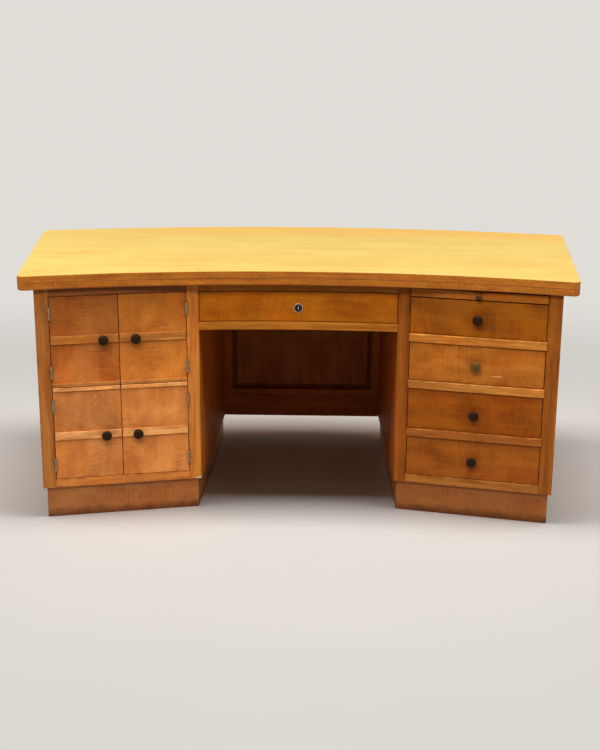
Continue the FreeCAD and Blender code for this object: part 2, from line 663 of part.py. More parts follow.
def lock():
    """The drawer lock. A quarter turn of the plug swings its pin from low to high and lifts the bolt."""
    ring_y = front_y(LOCK_RING_R, CENTRE_FACE)
    ring = along_depth(0, LOCK_Z, LOCK_RING_R, ring_y - LOCK_RING_T, ring_y)
    ring = eased(ring, LOCK_RING_T / 2, lambda e: abs(e.BoundBox.YMax - (ring_y - LOCK_RING_T)) < NEARNESS)
    barrel = along_depth(0, LOCK_Z, LOCK_BARREL_R, ring_y - LOCK_RING_T / 2, CENTRE_FRONT_BACK_Y + LOCK_WALL)
    half = LOCK_CASE_W / 2
    case_end = CENTRE_FRONT_BACK_Y + LOCK_CASE_T
    case = box(-half, half, CENTRE_FRONT_BACK_Y, case_end, CHANNEL_Z - LOCK_WALL, LOCK_CASE_TOP)
    room = BOLT_W / 2 + BOLT_PLAY
    channel = box(-room, room, CHANNEL_Y0, case_end - LOCK_WALL, CHANNEL_Z, LOCK_CASE_TOP + OVERRUN)
    bore_r = LOCK_PLUG_R + FIT_CLEARANCE
    plug_bore = along_depth(0, LOCK_Z, bore_r, ring_y - LOCK_RING_T - OVERRUN, CHANNEL_Y0 + OVERRUN)
    add("lock_body", ring.fuse([barrel, case]).cut([channel, plug_bore]).removeSplitter().Solids[0])

    plug_front = ring_y - LOCK_RING_T + LOCK_PLUG_RECESS
    plug = along_depth(0, LOCK_Z, LOCK_PLUG_R, plug_front, CHANNEL_Y0)
    slot = box(-KEY_SLOT_W / 2, KEY_SLOT_W / 2, plug_front - OVERRUN, plug_front + KEY_SLOT_DEPTH,
               LOCK_Z - KEY_SLOT_H / 2, LOCK_Z + KEY_SLOT_H / 2)
    cam_x = CAM_R * math.cos(math.pi / 4)
    cam_z = LOCK_Z - CAM_R * math.sin(math.pi / 4)
    cam_pin = along_depth(cam_x, cam_z, CAM_PIN_R, CHANNEL_Y0 - LOCK_WALL, BOLT_Y0 + BOLT_T)
    add("lock_plug", plug.cut(slot).fuse(cam_pin).removeSplitter().Solids[0])

    bolt_half = BOLT_W / 2
    bolt = box(-bolt_half, bolt_half, BOLT_Y0, BOLT_Y0 + BOLT_T, BOLT_Z, LOCK_CASE_TOP)
    reach = CAM_PIN_R + CAM_PLAY
    slot_y = BOLT_Y0 - OVERRUN, BOLT_Y0 + BOLT_T + OVERRUN
    yoke = box(cam_x, CAM_R, slot_y[0], slot_y[1], cam_z - reach, cam_z + reach)
    rounds = [along_depth(x, cam_z, reach, slot_y[0], slot_y[1]) for x in (cam_x, CAM_R)]
    add("lock_bolt", bolt.cut([yoke] + rounds))


def knee_panel():
    """The framed panel between the pedestals' backs."""
    face_y = IN_BACK.y - PANEL_INSET
    rear_y = face_y + FRAME_T
    inner_x = meet(inner(), row(face_y)).x - FRAME_STILE_W
    lower_top = PLINTH_H + LOWER_RAIL_H
    ledge_z = lower_top + LEDGE_GAP
    opening_z = ledge_z + LEDGE_H
    upper_z = CASE_TOP - UPPER_RAIL_H

    def rail(y0, z0, z1, end_gap=0.0):
        """A rail from the left pedestal to the right one, or short of it by a gap."""
        right = [meet(inner(-end_gap), row(y)) for y in (y0, rear_y)]
        left = [meet(inner(), row(y)) for y in (rear_y, y0)]
        return prism(right + [V(-p.x, p.y, 0) for p in left], z0, z1)

    add("modesty_frame", rail(face_y, PLINTH_H, lower_top, LOWER_RAIL_END_GAP))
    add("modesty_frame", rail(face_y - LEDGE_PROUD, ledge_z, opening_z))
    add("modesty_frame", rail(face_y, upper_z, CASE_TOP))
    stile = enclosed(row(face_y), inner(), row(rear_y), lane(inner_x))
    for side in (LEFT, RIGHT):
        add("modesty_frame", prism(stile, opening_z, upper_z, side))
    panel_y = face_y + PANEL_RECESS
    add("modesty_panel", box(-inner_x, inner_x, panel_y, panel_y + PANEL_T, opening_z, upper_z))


def build():
    top_boards()
    for side in (LEFT, RIGHT):
        carcass(side)
    cupboard_frame()
    doors()
    drawer_frame()
    for number, (bottom, top) in enumerate(LEVELS, 1):
        drawer(number, bottom, top)
    writing_slide()
    centre_frame()
    centre_drawer()
    lock()
    knee_panel()


build()
# The origin is under the middle of the top
MIDDLE_Y = PARTS["top_board"][0].optimalBoundingBox(False, False).Center.y
os.makedirs("parts", exist_ok=True)
for name, shapes in PARTS.items():
    for shape in shapes:
        shape.translate(V(0, -MIDDLE_Y, 0))
    whole = shapes[0] if len(shapes) == 1 else Part.makeCompound(shapes)
    whole.exportStep("parts/" + name + ".step")
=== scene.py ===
import json
import math
import random

import bmesh
import bpy
from mathutils import Matrix, Vector, geometry

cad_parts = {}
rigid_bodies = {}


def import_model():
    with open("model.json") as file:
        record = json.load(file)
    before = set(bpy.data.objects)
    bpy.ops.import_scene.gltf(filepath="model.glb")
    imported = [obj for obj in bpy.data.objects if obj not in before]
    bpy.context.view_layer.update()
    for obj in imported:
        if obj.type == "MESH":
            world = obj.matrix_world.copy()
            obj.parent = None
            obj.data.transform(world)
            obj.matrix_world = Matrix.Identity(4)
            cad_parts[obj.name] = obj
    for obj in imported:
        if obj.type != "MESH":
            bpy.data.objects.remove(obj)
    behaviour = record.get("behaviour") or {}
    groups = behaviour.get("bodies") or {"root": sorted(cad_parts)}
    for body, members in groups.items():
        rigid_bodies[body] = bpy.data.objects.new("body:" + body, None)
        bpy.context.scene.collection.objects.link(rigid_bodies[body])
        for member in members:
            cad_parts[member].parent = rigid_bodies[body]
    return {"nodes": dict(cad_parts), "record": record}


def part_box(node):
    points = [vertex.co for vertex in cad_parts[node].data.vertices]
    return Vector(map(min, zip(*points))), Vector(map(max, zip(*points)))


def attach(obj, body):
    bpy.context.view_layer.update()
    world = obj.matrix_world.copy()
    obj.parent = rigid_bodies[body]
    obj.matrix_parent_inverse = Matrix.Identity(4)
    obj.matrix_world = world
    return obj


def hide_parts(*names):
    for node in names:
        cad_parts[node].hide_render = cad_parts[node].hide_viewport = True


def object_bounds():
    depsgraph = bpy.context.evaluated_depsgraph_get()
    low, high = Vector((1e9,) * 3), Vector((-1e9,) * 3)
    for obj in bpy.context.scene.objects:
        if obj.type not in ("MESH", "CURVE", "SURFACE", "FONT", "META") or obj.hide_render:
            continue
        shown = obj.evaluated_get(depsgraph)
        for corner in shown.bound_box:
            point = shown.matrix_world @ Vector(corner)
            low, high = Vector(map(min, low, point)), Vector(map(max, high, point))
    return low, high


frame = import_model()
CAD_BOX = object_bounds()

# A kneehole desk in old honey-coloured veneer, dressed over its frame. Lengths are in metres.

# Boards: how their meshes are cleaned and their arrises eased
WELD = 1e-6
FLAT_ANGLE = math.radians(0.2)
SHARP_ANGLE = math.radians(40)
SHADE_ANGLE = math.radians(35)
ARRIS = 0.0005
SEED = 11

# Colours as they look on the desk, in 0 to 255
TOP_HONEY = (232, 198, 97)
TOP_BACK_BAND = (238, 183, 74)
TOP_EDGE = (172, 100, 26)
# A node's boards in turn, or the foot and head of one whose head is darkened as painted shade from the top's
# overhang
BOARD_TINTS = {
    "left_stiles": [(186, 112, 44), (154, 93, 40)],
    # The darker left rail is the one under the top: its tint holds painted shade from the top's overhang
    "left_rails": [(114, 65, 32), (180, 106, 46)],
    "right_stiles": [(134, 71, 16), (138, 75, 20)],
    "drawer_rails": [(175, 109, 42), (170, 107, 45), (141, 78, 27), (156, 94, 37)],
    "plinths": [(154, 94, 46)] * 4 + [(140, 81, 33)] * 4,
}
# The upper doors darken towards their heads: painted shade from the top's overhang
OVERHANG_SHADED_TINTS = {
    "upper_outer_door": [(178, 101, 43), (126, 68, 22)],
    "upper_inner_door": [(194, 112, 42), (154, 88, 26)],
}
TINTS = {
    "lower_outer_door": (187, 116, 58),
    "lower_inner_door": (200, 123, 59),
    "upper_outer_battens": (168, 106, 48),
    "upper_inner_battens": (176, 112, 50),
    "lower_outer_battens": (214, 146, 86),
    "lower_inner_battens": (218, 148, 84),
    "drawer_1_front": (138, 75, 8),
    "drawer_2_front": (170, 99, 31),
    "drawer_3_front": (135, 68, 6),
    "drawer_4_front": (143, 75, 15),
    "centre_drawer_front": (160, 89, 6),
    "writing_slide": (162, 93, 28),
    "centre_rails": (161, 97, 26),
    "modesty_panel": (162, 94, 42),
    "modesty_frame": (172, 93, 36),
    "left_inner_side": (184, 100, 28),
    "right_inner_side": (168, 86, 26),
    "left_outer_side": (180, 108, 46),
    "right_outer_side": (176, 102, 40),
    "left_back": (184, 122, 62),
    "right_back": (178, 116, 58),
}
# What a node's slot gives it where it has no tint of its own
SLOT_TINTS = {
    "top_veneer": TOP_HONEY,
    "panel_veneer": (170, 98, 40),
    "frame_wood": (160, 96, 44),
    "inner_wood": (198, 152, 100),
}

# Boards whose grain doesn't follow their longest side: upright, or across their plan
GRAIN_UP = {
    "left_outer_side", "left_inner_side", "right_outer_side", "right_inner_side", "left_back", "right_back",
    "modesty_panel",
}
GRAIN_ACROSS = {"writing_slide", "cupboard_shelves", "left_bottom", "left_sub_top", "right_bottom"}

# Metals and lacquers: the colour, and how it looks where it is rubbed or tarnished
KNOB_DARK = ((34, 18, 6), (60, 36, 20))
KNOB_OLIVE = ((84, 64, 26), (120, 98, 52))
KNOB_BROWN = ((70, 46, 18), (98, 72, 36))
HINGE_STEEL = ((152, 134, 106), (98, 76, 52))
LOCK_NICKEL = ((182, 158, 144), (128, 102, 88))
LOCK_BLACK = (22, 15, 14)
PLUG_BLACK = ((24, 18, 18), (44, 36, 34))
BOLT_BRASS = ((198, 160, 88), (128, 96, 48))
WARD_BRIGHT = ((232, 222, 214), (176, 160, 150))
SCREW_STEEL = ((138, 128, 112), (40, 34, 28))
PIN_IRON = ((62, 40, 26), (34, 24, 18))
# The length and the width of the marks on them
SMEAR = (0.02, 0.02)
TARNISH = (0.012, 0.012)
METAL_SCRATCH = (0.003, 0.0003)
HEAD_SOIL = (0.003, 0.003)
RING_TARNISH = (0.004, 0.004)

# Figure in the wood: the length and the width of each kind of mark, and how far the grain sways
CLOUD = (0.11, 0.075)
BAND = (0.8, 0.024)
LINE = (0.25, 0.0035)
PORE = (0.018, 0.0009)
RIPPLE_PATCH = (0.10, 0.09)
FLECK = (0.0032, 0.011)
WARMTH = (0.22, 0.10)
RUBBING = (0.03, 0.03)
FLAKE_AND_HIGHLIGHT = (0.06, 0.006)
SWAYS_PER_METRE = 7.0
GRAIN_SWAY = (0.1, 0.018, 0.018)
RIPPLE_SWAY = (0.05, 0.0, 0.0)
RELIEF = 0.0002

# Wear: how far from an arris, the foot or a knob each kind begins and is full, and how ragged its border is
ARRIS_WEAR = (0.0024, 0.0003)
ARRIS_SOIL = (0.012, 0.001)
# Along the upper arris the lighter marks are partly chips and partly painted highlight where light falls on
# the top edge
UPPER_CHIPS_AND_HIGHLIGHT = (0.0042, 0.0014)
FOOT_SCUFFS = (0.034, 0.002)
SCUFFS_RAGGED = 0.016
HANDLING = (0.044, 0.019)
HANDLING_RAGGED = 0.012
# Far from every board, for those that have no knob
NO_KNOB = Vector((9.0, 9.0, 9.0))

# Shades of figure and wear, and of painted light, which multiply a tint
DARK_GRAIN = (0.66, 0.56, 0.46, 1.0)
LIGHT_GRAIN = (1.28, 1.36, 1.42, 1.0)
WARM_GRAIN = (1.04, 0.90, 0.72, 1.0)
OPEN_PORE = (0.42, 0.30, 0.22, 1.0)
WORN_ARRIS = (1.35, 1.5, 1.7, 1.0)
SOILED_ARRIS = (0.60, 0.46, 0.38, 1.0)
CHIP_AND_HIGHLIGHT_SHADE = (1.5, 1.75, 2.2, 1.0)
SCUFFED = (0.34, 0.26, 0.24, 1.0)
HANDLED = (0.52, 0.40, 0.32, 1.0)
BESIDE_JOINT = (0.86, 0.82, 0.78, 1.0)
JOINT_LINE = (0.45, 0.34, 0.28, 1.0)
# Painted shade and dust in the modesty panel's corner by its frame
CORNER_SHADE_AND_DUST = (0.30, 0.24, 0.22, 1.0)

# Single marks: their colours, and where they lie as shares of a front
PALE_SCRATCH = (222, 176, 112)
BARE_CHIP = (198, 178, 148)
NAIL_DARK = (44, 26, 16)
JOINT_SHARE = 0.37
JOINT_WIDTH = (0.0016, 0.0005)
JOINT_STEP = 0.001
NAIL_R = 0.0014
NAIL_INSET = 0.010
SCRATCH_SHARES = (0.66, 0.24)
SCRATCH_LENGTH = 0.030
SCRATCH_WIDTH = (0.0013, 0.0005)
SCRATCH_SLOPE = 0.03
CHIP_SIZE = (0.016, 0.007)
CHIP_RAGGED = (0.006, 0.006)
# The modesty panel's border of painted shade and dust, from where it begins to where it is full
PANEL_SHADE_AND_DUST = (0.020, 0.013)

# Fixings and lock
HEAD_SIDES = 20
SLOT_SHARES = (1.7, 0.3, 2.3)
HEAD_RISE = 0.00005
SCREW_R = 0.0027
PIN_R = 0.0013
BACK_PIN_R = 0.0020
LEAF_SCREWS = ((0.005, 0.18), (0.011, 0.5), (0.005, 0.82))
BATTEN_PIN_INSET = 0.018
BACK_PIN_INSET = 0.008
BACK_PIN_SPACING = 0.11
LOCK_FACE_R = 0.0121
KEY_SLIT_SIZE = (0.0009, 0.0042)
KEY_SLIT_DEPTHS = (0.0003, 0.0012)

# The top: its back edge's radius, the seam's height and width, where the ends' wear and the lipping's paler
# right half begin and are full, and the deeper band along the back, with its start along the top and how
# far both wander
BACK_ARC_R = 3.607
SEAM_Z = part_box("top_board")[0].z
SEAM_WIDTH = (0.0014, 0.0007)
SEAM_WANDER = 0.0004
END_WEAR = (0.70, 0.80)
LIP_PALER_RIGHT = (0.25, 0.65)
BACK_BAND = (0.23, 0.05)
BACK_BAND_START = (-0.75, -0.35)
BAND_WANDER = (0.03, 0.05)
START_WANDER = 0.2
FACE_DEPTH = (0.004, 0.002)

# The top's figure, and that of its lipping, with the shades of both
TOP_STREAK = (1.3, 0.030)
TOP_FINE = (0.6, 0.004)
TOP_CLOUD = (0.24, 0.11)
TOP_FLECK = (0.012, 0.0016)
TOP_HATCH = (0.005, 0.06)
LIP_LINE = (0.5, 0.0026)
LIP_CLOUD = (0.08, 0.03)
LIP_FLECK = (0.0035, 0.009)
LIP_RED = (0.12, 0.012)
DEEP_HONEY = (0.96, 0.82, 0.60, 1.0)
PALE_HONEY = (1.02, 1.08, 1.25, 1.0)
FLECKED = (0.76, 0.62, 0.46, 1.0)
PALE_BAND = (1.04, 1.08, 1.10, 1.0)
DARK_LIP = (0.56, 0.46, 0.36, 1.0)
LIGHT_LIP = (1.30, 1.40, 1.45, 1.0)
RED_LIP = (1.06, 0.90, 1.05, 1.0)
SEAM_DIRT = (0.40, 0.30, 0.24, 1.0)
PALER_RIGHT_LIP = (1.10, 1.17, 1.12, 1.0)
RUBBED_END = (1.22, 1.32, 1.60, 1.0)

# Camera: the photograph's place and turn, worked out from the desk's corners
CAMERA_AT = Vector((0.08402, -4.13834, 1.5714))
CAMERA_PITCH = 0.28751
CAMERA_YAW = -0.02017
CAMERA_ROLL = -0.0061
CAMERA_LENS = 63.336
CAMERA_SENSOR = 36.0

# Floor and sky: the floor is lit near the desk, and plain pale beyond the fade
FLOOR_PALE = (224, 221, 215)
FLOOR_CLOUD = (0.5, 0.5)
FLOOR_SHADE = (0.97, 0.97, 0.97, 1.0)
FLOOR_REACH = 40.0
FLOOR_FADE = (0.5, 2.2)
SKY_WHITE = (255, 252, 247)
SKY_LEVEL = 0.07

# Lamps: place, aim, width and depth, and power. Flags keep the brighter ones out of the kneehole
KNEEHOLE = ("modesty", "left_inner_side", "right_inner_side", "centre_runners")
OVER_FLOOR = {"at": (0, -0.4, 5.0), "aim": (0, -0.4, 0), "size": (6.0, 1.6), "power": 300.0}
CEILING = {"at": (0, -1.2, 3.5), "aim": (0, -1.2, 0), "size": (4.4, 0.7), "power": 80.0}
LEFT_SIDE = {"at": (-3.3, -0.5, 2.6), "aim": (-1.3, -0.3, 0), "size": (1.4, 2.4), "power": 60.0}
RIGHT_SIDE = {"at": (3.3, -0.5, 2.6), "aim": (1.3, -0.3, 0), "size": (1.4, 2.4), "power": 60.0}
BEHIND = {"at": (0, 3.4, 2.6), "aim": (0, 0.3, 0.4), "size": (4.0, 1.4), "power": 110.0}
BACK_EDGE = {"at": (0, 3.4, 0.5), "aim": (0, 0.4, 0.74), "size": (4.0, 0.4), "power": 60.0}
ABOVE_TOP = {"at": (0, -0.6, 4.0), "aim": (0, -0.2, 0.76), "size": (4.4, 1.0), "power": 38.0}
KEY = {"at": (-0.5, -3.4, 3.6), "aim": (0, -0.2, 0.5), "size": (3.6, 1.0), "power": 160.0}
FILL = {"at": (0, -4.6, 1.2), "aim": (0, 0, 0.5), "size": (3.0, 1.0), "power": 14.0}

record = frame["record"]
slot_of = {part["node"]: part["material_slot"] for part in record["subparts"]}
body_of = {}
for body_name, node_names in record["behaviour"]["bodies"].items():
    for node_name in node_names:
        body_of[node_name] = body_name
joint_at = {joint["name"]: joint for joint in record["behaviour"]["joints"]}


def linear(colour):
    """A colour in 0 to 255, as light."""
    shares = [c / 255 for c in colour]
    return [c / 12.92 if c <= 0.04045 else ((c + 0.055) / 1.055) ** 2.4 for c in shares] + [1.0]


class Value:
    """A socket of a finish. Arithmetic on it adds Math nodes."""

    def __init__(self, finish, socket):
        self.finish = finish
        self.socket = socket

    def math(self, operation, *terms):
        return self.finish.node("ShaderNodeMath", {"operation": operation}, dict(enumerate(terms)))

    def __add__(self, other):
        return self.math("ADD", self, other)

    def __sub__(self, other):
        return self.math("SUBTRACT", self, other)

    def __rsub__(self, other):
        return self.math("SUBTRACT", other, self)

    def __mul__(self, other):
        return self.math("MULTIPLY", self, other)

    def __truediv__(self, other):
        return self.math("DIVIDE", self, other)

    __radd__ = __add__
    __rmul__ = __mul__

    def __abs__(self):
        return self.math("ABSOLUTE", self)

    def root(self):
        return self.math("SQRT", self)

    def least(self, other):
        return self.math("MINIMUM", self, other)

    def most(self, other):
        return self.math("MAXIMUM", self, other)

    def rise(self, low, high):
        """0 at low and 1 at high, smooth between."""
        sockets = {"Value": self, "From Min": low, "From Max": high}
        return self.finish.node("ShaderNodeMapRange", {"interpolation_type": "SMOOTHSTEP"}, sockets)

    def output(self, name):
        """Another output of the same node."""
        return Value(self.finish, self.socket.node.outputs[name])


class Nodes:
    """A node tree, built node by node."""

    def __init__(self, tree):
        self.tree = tree
        tree.nodes.clear()

    def node(self, kind, settings=None, sockets=None, output=0):
        """One node: its type, its settings, which are set first, and the values or links of its sockets."""
        made = self.tree.nodes.new(kind)
        for setting, value in (settings or {}).items():
            setattr(made, setting, value)
        for name, value in (sockets or {}).items():
            if isinstance(value, Value):
                self.tree.links.new(value.socket, made.inputs[name])
            elif isinstance(value, list) and isinstance(value[0], Value):
                for each in value:
                    self.tree.links.new(each.socket, made.inputs[name])
            else:
                made.inputs[name].default_value = value
        return Value(self, made.outputs[output]) if made.outputs else None


class Finish(Nodes):
    """A material."""

    def __init__(self, name):
        self.material = bpy.data.materials.new(name)
        self.material.use_nodes = True
        super().__init__(self.material.node_tree)

    def attribute(self, name, output="Vector"):
        return self.node("ShaderNodeAttribute", {"attribute_name": name}, output=output)

    def place(self):
        """Object coordinates."""
        return self.node("ShaderNodeTexCoord", output="Object")

    def axes(self, vector):
        """The three numbers of a vector."""
        first = self.node("ShaderNodeSeparateXYZ", None, {0: vector})
        return first, first.output(1), first.output(2)

    def vector(self, operation, *terms):
        return self.node("ShaderNodeVectorMath", {"operation": operation}, dict(enumerate(terms)))

    def blend(self, share, first, second, mode="MIX"):
        """A share of the second colour over the first."""
        settings = {"data_type": "RGBA", "blend_type": mode}
        return self.node("ShaderNodeMix", settings, {0: share, 6: first, 7: second}, 2)

    def shade(self, share, colour, tone):
        """A share of a tone multiplied into a colour."""
        return self.blend(share, colour, tone, "MULTIPLY")

    def figure(self, grain, along, across, detail=2.0, roughness=0.5):
        """Noise about 0 whose marks have a length along the grain and a width across it."""
        stretched = self.vector("MULTIPLY", grain, (1 / along, 1 / across, 1 / across))
        sockets = {"Vector": stretched, "Scale": 1.0, "Detail": detail, "Roughness": roughness}
        return self.node("ShaderNodeTexNoise", None, sockets) * 2 - 1

    def figured(self, level, tint, dark, light):
        """A tint between its dark and its light shade, by a level from 0 to 1."""
        return self.blend(level.rise(0.0, 1.0), self.shade(1.0, tint, dark), self.shade(1.0, tint, light))

    def bump(self, height, distance, strength):
        sockets = {"Height": height, "Distance": distance, "Strength": strength}
        return self.node("ShaderNodeBump", None, sockets)

    def surface(self, **sockets):
        """The shader, with its sockets named in small letters, and the finished material."""
        named = {}
        for name, value in sockets.items():
            named[name.replace("_", " ").title().replace("Ior", "IOR")] = value
        shader = self.node("ShaderNodeBsdfPrincipled", None, named)
        self.node_out(shader)
        return self.material

    def node_out(self, shader):
        self.node("ShaderNodeOutputMaterial", None, {"Surface": shader})


def edge_distance(finish, local, half):
    """How far a point of a board's face is from the nearest arris."""
    apart = finish.vector("SUBTRACT", half, finish.vector("ABSOLUTE", local))
    a, b, c = finish.axes(apart)
    low = a.least(b)
    high = a.most(b)
    return low.most(high.least(c))


def aged(f, colour, grain, wear, chips_and_highlight, soil, handled):
    """The colour with worn and soiled arrises, chips and a painted highlight above, scuffs below and marks of
    hands, and the wear.
    """
    local, half = f.attribute("local"), f.attribute("half")
    edge = edge_distance(f, local, half)
    rub = f.figure(grain, *RUBBING, 3.0, 0.6)
    worn = edge.rise(*ARRIS_WEAR) * rub.rise(-0.25, 0.35)
    colour = f.shade(worn * wear, colour, WORN_ARRIS)
    soiled = edge.rise(*ARRIS_SOIL) * rub.rise(0.1, -0.4)
    colour = f.shade(soiled * wear, colour, SOILED_ARRIS)
    height, top = f.axes(local)[2], f.axes(half)[2]
    # Chips along the upper arris, and a painted highlight there where light falls from above
    if chips_and_highlight:
        chips_and_highlight_mask = (top - height).rise(*UPPER_CHIPS_AND_HIGHLIGHT) * f.figure(grain, *FLAKE_AND_HIGHLIGHT).rise(0.02, 0.2)
        colour = f.shade(chips_and_highlight_mask * chips_and_highlight, colour, CHIP_AND_HIGHLIGHT_SHADE)
    if soil:
        scuffed = (top + height + SCUFFS_RAGGED * rub).rise(*FOOT_SCUFFS)
        colour = f.shade(scuffed * soil, colour, SCUFFED)
    hold = f.attribute("hold")
    near = f.node("ShaderNodeVectorMath", {"operation": "DISTANCE"}, {0: local, 1: hold}, "Value")
    touched = (near + HANDLING_RAGGED * rub).rise(*HANDLING)
    return f.shade(touched * handled, colour, HANDLED), worn


def wood(name, blotch=0.0, band=0.0, line=0.0, ripple=0.0, pitch=0.012, fleck=0.0, pore=0.25, wear=0.35,
         chips_and_highlight=0.0, soil=0.0, handled=0.25, roughness=0.48, gloss=0.2, marks=None):
    """Polished wood with the given share of each kind of figure and of wear. Ripples repeat at the pitch."""
    f = Finish(name)
    grain = f.attribute("grain")
    tint = f.attribute("tint", "Color")
    sockets = {"Vector": grain, "Scale": SWAYS_PER_METRE, "Detail": 1.0}
    sway = f.vector("SUBTRACT", f.node("ShaderNodeTexNoise", None, sockets, "Color"), (0.5, 0.5, 0.5))
    bent = f.vector("ADD", grain, f.vector("MULTIPLY", sway, GRAIN_SWAY))
    waved = f.vector("ADD", grain, f.vector("MULTIPLY", sway, RIPPLE_SWAY))
    cloud = f.figure(bent, *CLOUD, 3.0, 0.55)
    band_mark = f.figure(bent, *BAND)
    line_mark = f.figure(bent, *LINE, 3.0, 0.6)
    pore_mark = f.figure(grain, *PORE, 1.0)
    patch = f.figure(grain, *RIPPLE_PATCH, 1.0).rise(-0.10, 0.25)
    ripple_mark = f.figure(waved, pitch / 2, pitch * 6, 1.0, 0.4) * patch
    fleck_mark = f.figure(waved, *FLECK, 2.0, 0.6)
    level = 0.5 + blotch * cloud + band * band_mark + line * line_mark
    level = level + ripple * ripple_mark + fleck * fleck_mark
    colour = f.figured(level, tint, DARK_GRAIN, LIGHT_GRAIN)
    colour = f.shade(f.figure(bent, *WARMTH).rise(-0.05, 0.4), colour, WARM_GRAIN)
    colour = f.shade(pore_mark.rise(0.25, 0.7) * pore, colour, OPEN_PORE)
    colour, worn = aged(f, colour, grain, wear, chips_and_highlight, soil, handled)
    if marks:
        colour = marks(f, colour)
    rough = roughness + 0.10 * cloud + 0.05 * line_mark + 0.08 * worn
    relief = 0.6 * line_mark + 0.5 * pore_mark + 0.4 * ripple * ripple_mark
    return f.surface(base_color=colour, roughness=rough, normal=f.bump(relief, RELIEF, 0.3),
                     coat_weight=0.25 * gloss, coat_roughness=0.3, specular_ior_level=gloss)


def spot(x, z, at_x, at_z, radius, soft=0.4):
    """1 inside a round spot of a front, seen square on, and 0 outside it."""
    off_x, off_z = x - at_x, z - at_z
    return (off_x * off_x + off_z * off_z).rise(radius ** 2 * (1 + soft), radius ** 2 * (1 - soft))


def second_drawer_marks(f, colour):
    """An upright joint in the veneer with a nail hole at its upper end, and a short scratch by the knob."""
    low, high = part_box("drawer_2_front")
    x, y, z = f.axes(f.place())
    joint_x = low.x + JOINT_SHARE * (high.x - low.x)
    beside = x - joint_x
    colour = f.shade(beside.rise(0.0, JOINT_STEP) * 0.5, colour, BESIDE_JOINT)
    colour = f.shade(abs(beside).rise(*JOINT_WIDTH) * 0.6, colour, JOINT_LINE)
    hole = spot(x, z, joint_x, high.z - NAIL_INSET, NAIL_R)
    colour = f.blend(hole * 0.9, colour, linear(NAIL_DARK))
    scratch_x = low.x + SCRATCH_SHARES[0] * (high.x - low.x)
    scratch_z = low.z + SCRATCH_SHARES[1] * (high.z - low.z)
    along = x - scratch_x
    line = abs(z - scratch_z - SCRATCH_SLOPE * along).rise(*SCRATCH_WIDTH)
    scratch = line * abs(along).rise(SCRATCH_LENGTH * 0.6, SCRATCH_LENGTH * 0.4)
    return f.blend(scratch * 0.75, colour, linear(PALE_SCRATCH))


def stile_marks(f, colour):
    """A pale chip at the foot of the cupboards' inner stile, where the polish has broken away."""
    low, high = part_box("left_stiles")
    x, y, z = f.axes(f.place())
    ragged = f.figure(f.place(), *CHIP_RAGGED, 2.0, 0.6)
    across, up = (x - high.x) / CHIP_SIZE[0], (z - low.z) / CHIP_SIZE[1]
    chip = (across * across + up * up + 0.9 * ragged).rise(1.1, 0.8)
    return f.blend(chip * 0.9, colour, linear(BARE_CHIP))


def panel_marks(f, colour):
    """Painted shade, with old polish and dust, before the modesty panel in the corner where it meets its
    frame.
    """
    inset = edge_distance(f, f.attribute("local"), f.attribute("half"))
    facing = f.axes(f.node("ShaderNodeNewGeometry", output="Normal"))[1]
    shade_and_dust = inset.rise(*PANEL_SHADE_AND_DUST) * facing.rise(0.0, -0.5)
    return f.shade(shade_and_dust * 0.75, colour, CORNER_SHADE_AND_DUST)


def honey_face(f, grain, x, y, streak, fine, cloud, fleck):
    """The top's upper face: streaks of honey, flecks, and the deeper band along the curved back edge."""
    level = 0.5 + 0.55 * streak + 0.40 * fine + 0.60 * cloud + 0.25 * f.figure(grain, *TOP_HATCH, 1.0, 0.4)
    face = f.figured(level, linear(TOP_HONEY), DEEP_HONEY, PALE_HONEY)
    face = f.shade(fleck.rise(0.3, 0.75) * 0.2, face, FLECKED)
    reach = BACK_ARC_R ** 2 - x * x
    back_line = CAD_BOX[1][1] - BACK_ARC_R + reach.root()
    wander = BAND_WANDER[0] * cloud + BAND_WANDER[1] * streak
    band = (back_line - y + wander).rise(*BACK_BAND)
    band = band * (x + START_WANDER * cloud).rise(*BACK_BAND_START)
    return f.blend(band, face, f.shade(level.rise(0.0, 1.0), linear(TOP_BACK_BAND), PALE_BAND))


def honey_lip(f, grain, x, z, cloud):
    """The orange-brown lipping round the top: fine lines, flecks, the seam, and ends rubbed paler."""
    edgewise = f.vector("MULTIPLY", grain, (1.0, 0.0, 1.0))
    level = 0.5 + 0.6 * f.figure(edgewise, *LIP_LINE, 2.0, 0.6)
    level = level + 0.35 * f.figure(edgewise, *LIP_CLOUD) + 0.6 * f.figure(edgewise, *LIP_FLECK, 2.0, 0.6)
    lip = f.figured(level, linear(TOP_EDGE), DARK_LIP, LIGHT_LIP)
    lip = f.shade(f.figure(edgewise, *LIP_RED).rise(-0.1, 0.35), lip, RED_LIP)
    seam = abs(z - SEAM_Z + SEAM_WANDER * cloud).rise(*SEAM_WIDTH)
    lip = f.shade(seam * 0.75, lip, SEAM_DIRT)
    # The lipping grows paler towards its right end
    lip = f.shade(x.rise(*LIP_PALER_RIGHT), lip, PALER_RIGHT_LIP)
    rubbed = abs(x).rise(*END_WEAR) * f.figure(f.place(), *RUBBING, 3.0, 0.6).rise(-0.2, 0.3)
    return f.shade(rubbed * 0.5, lip, RUBBED_END)


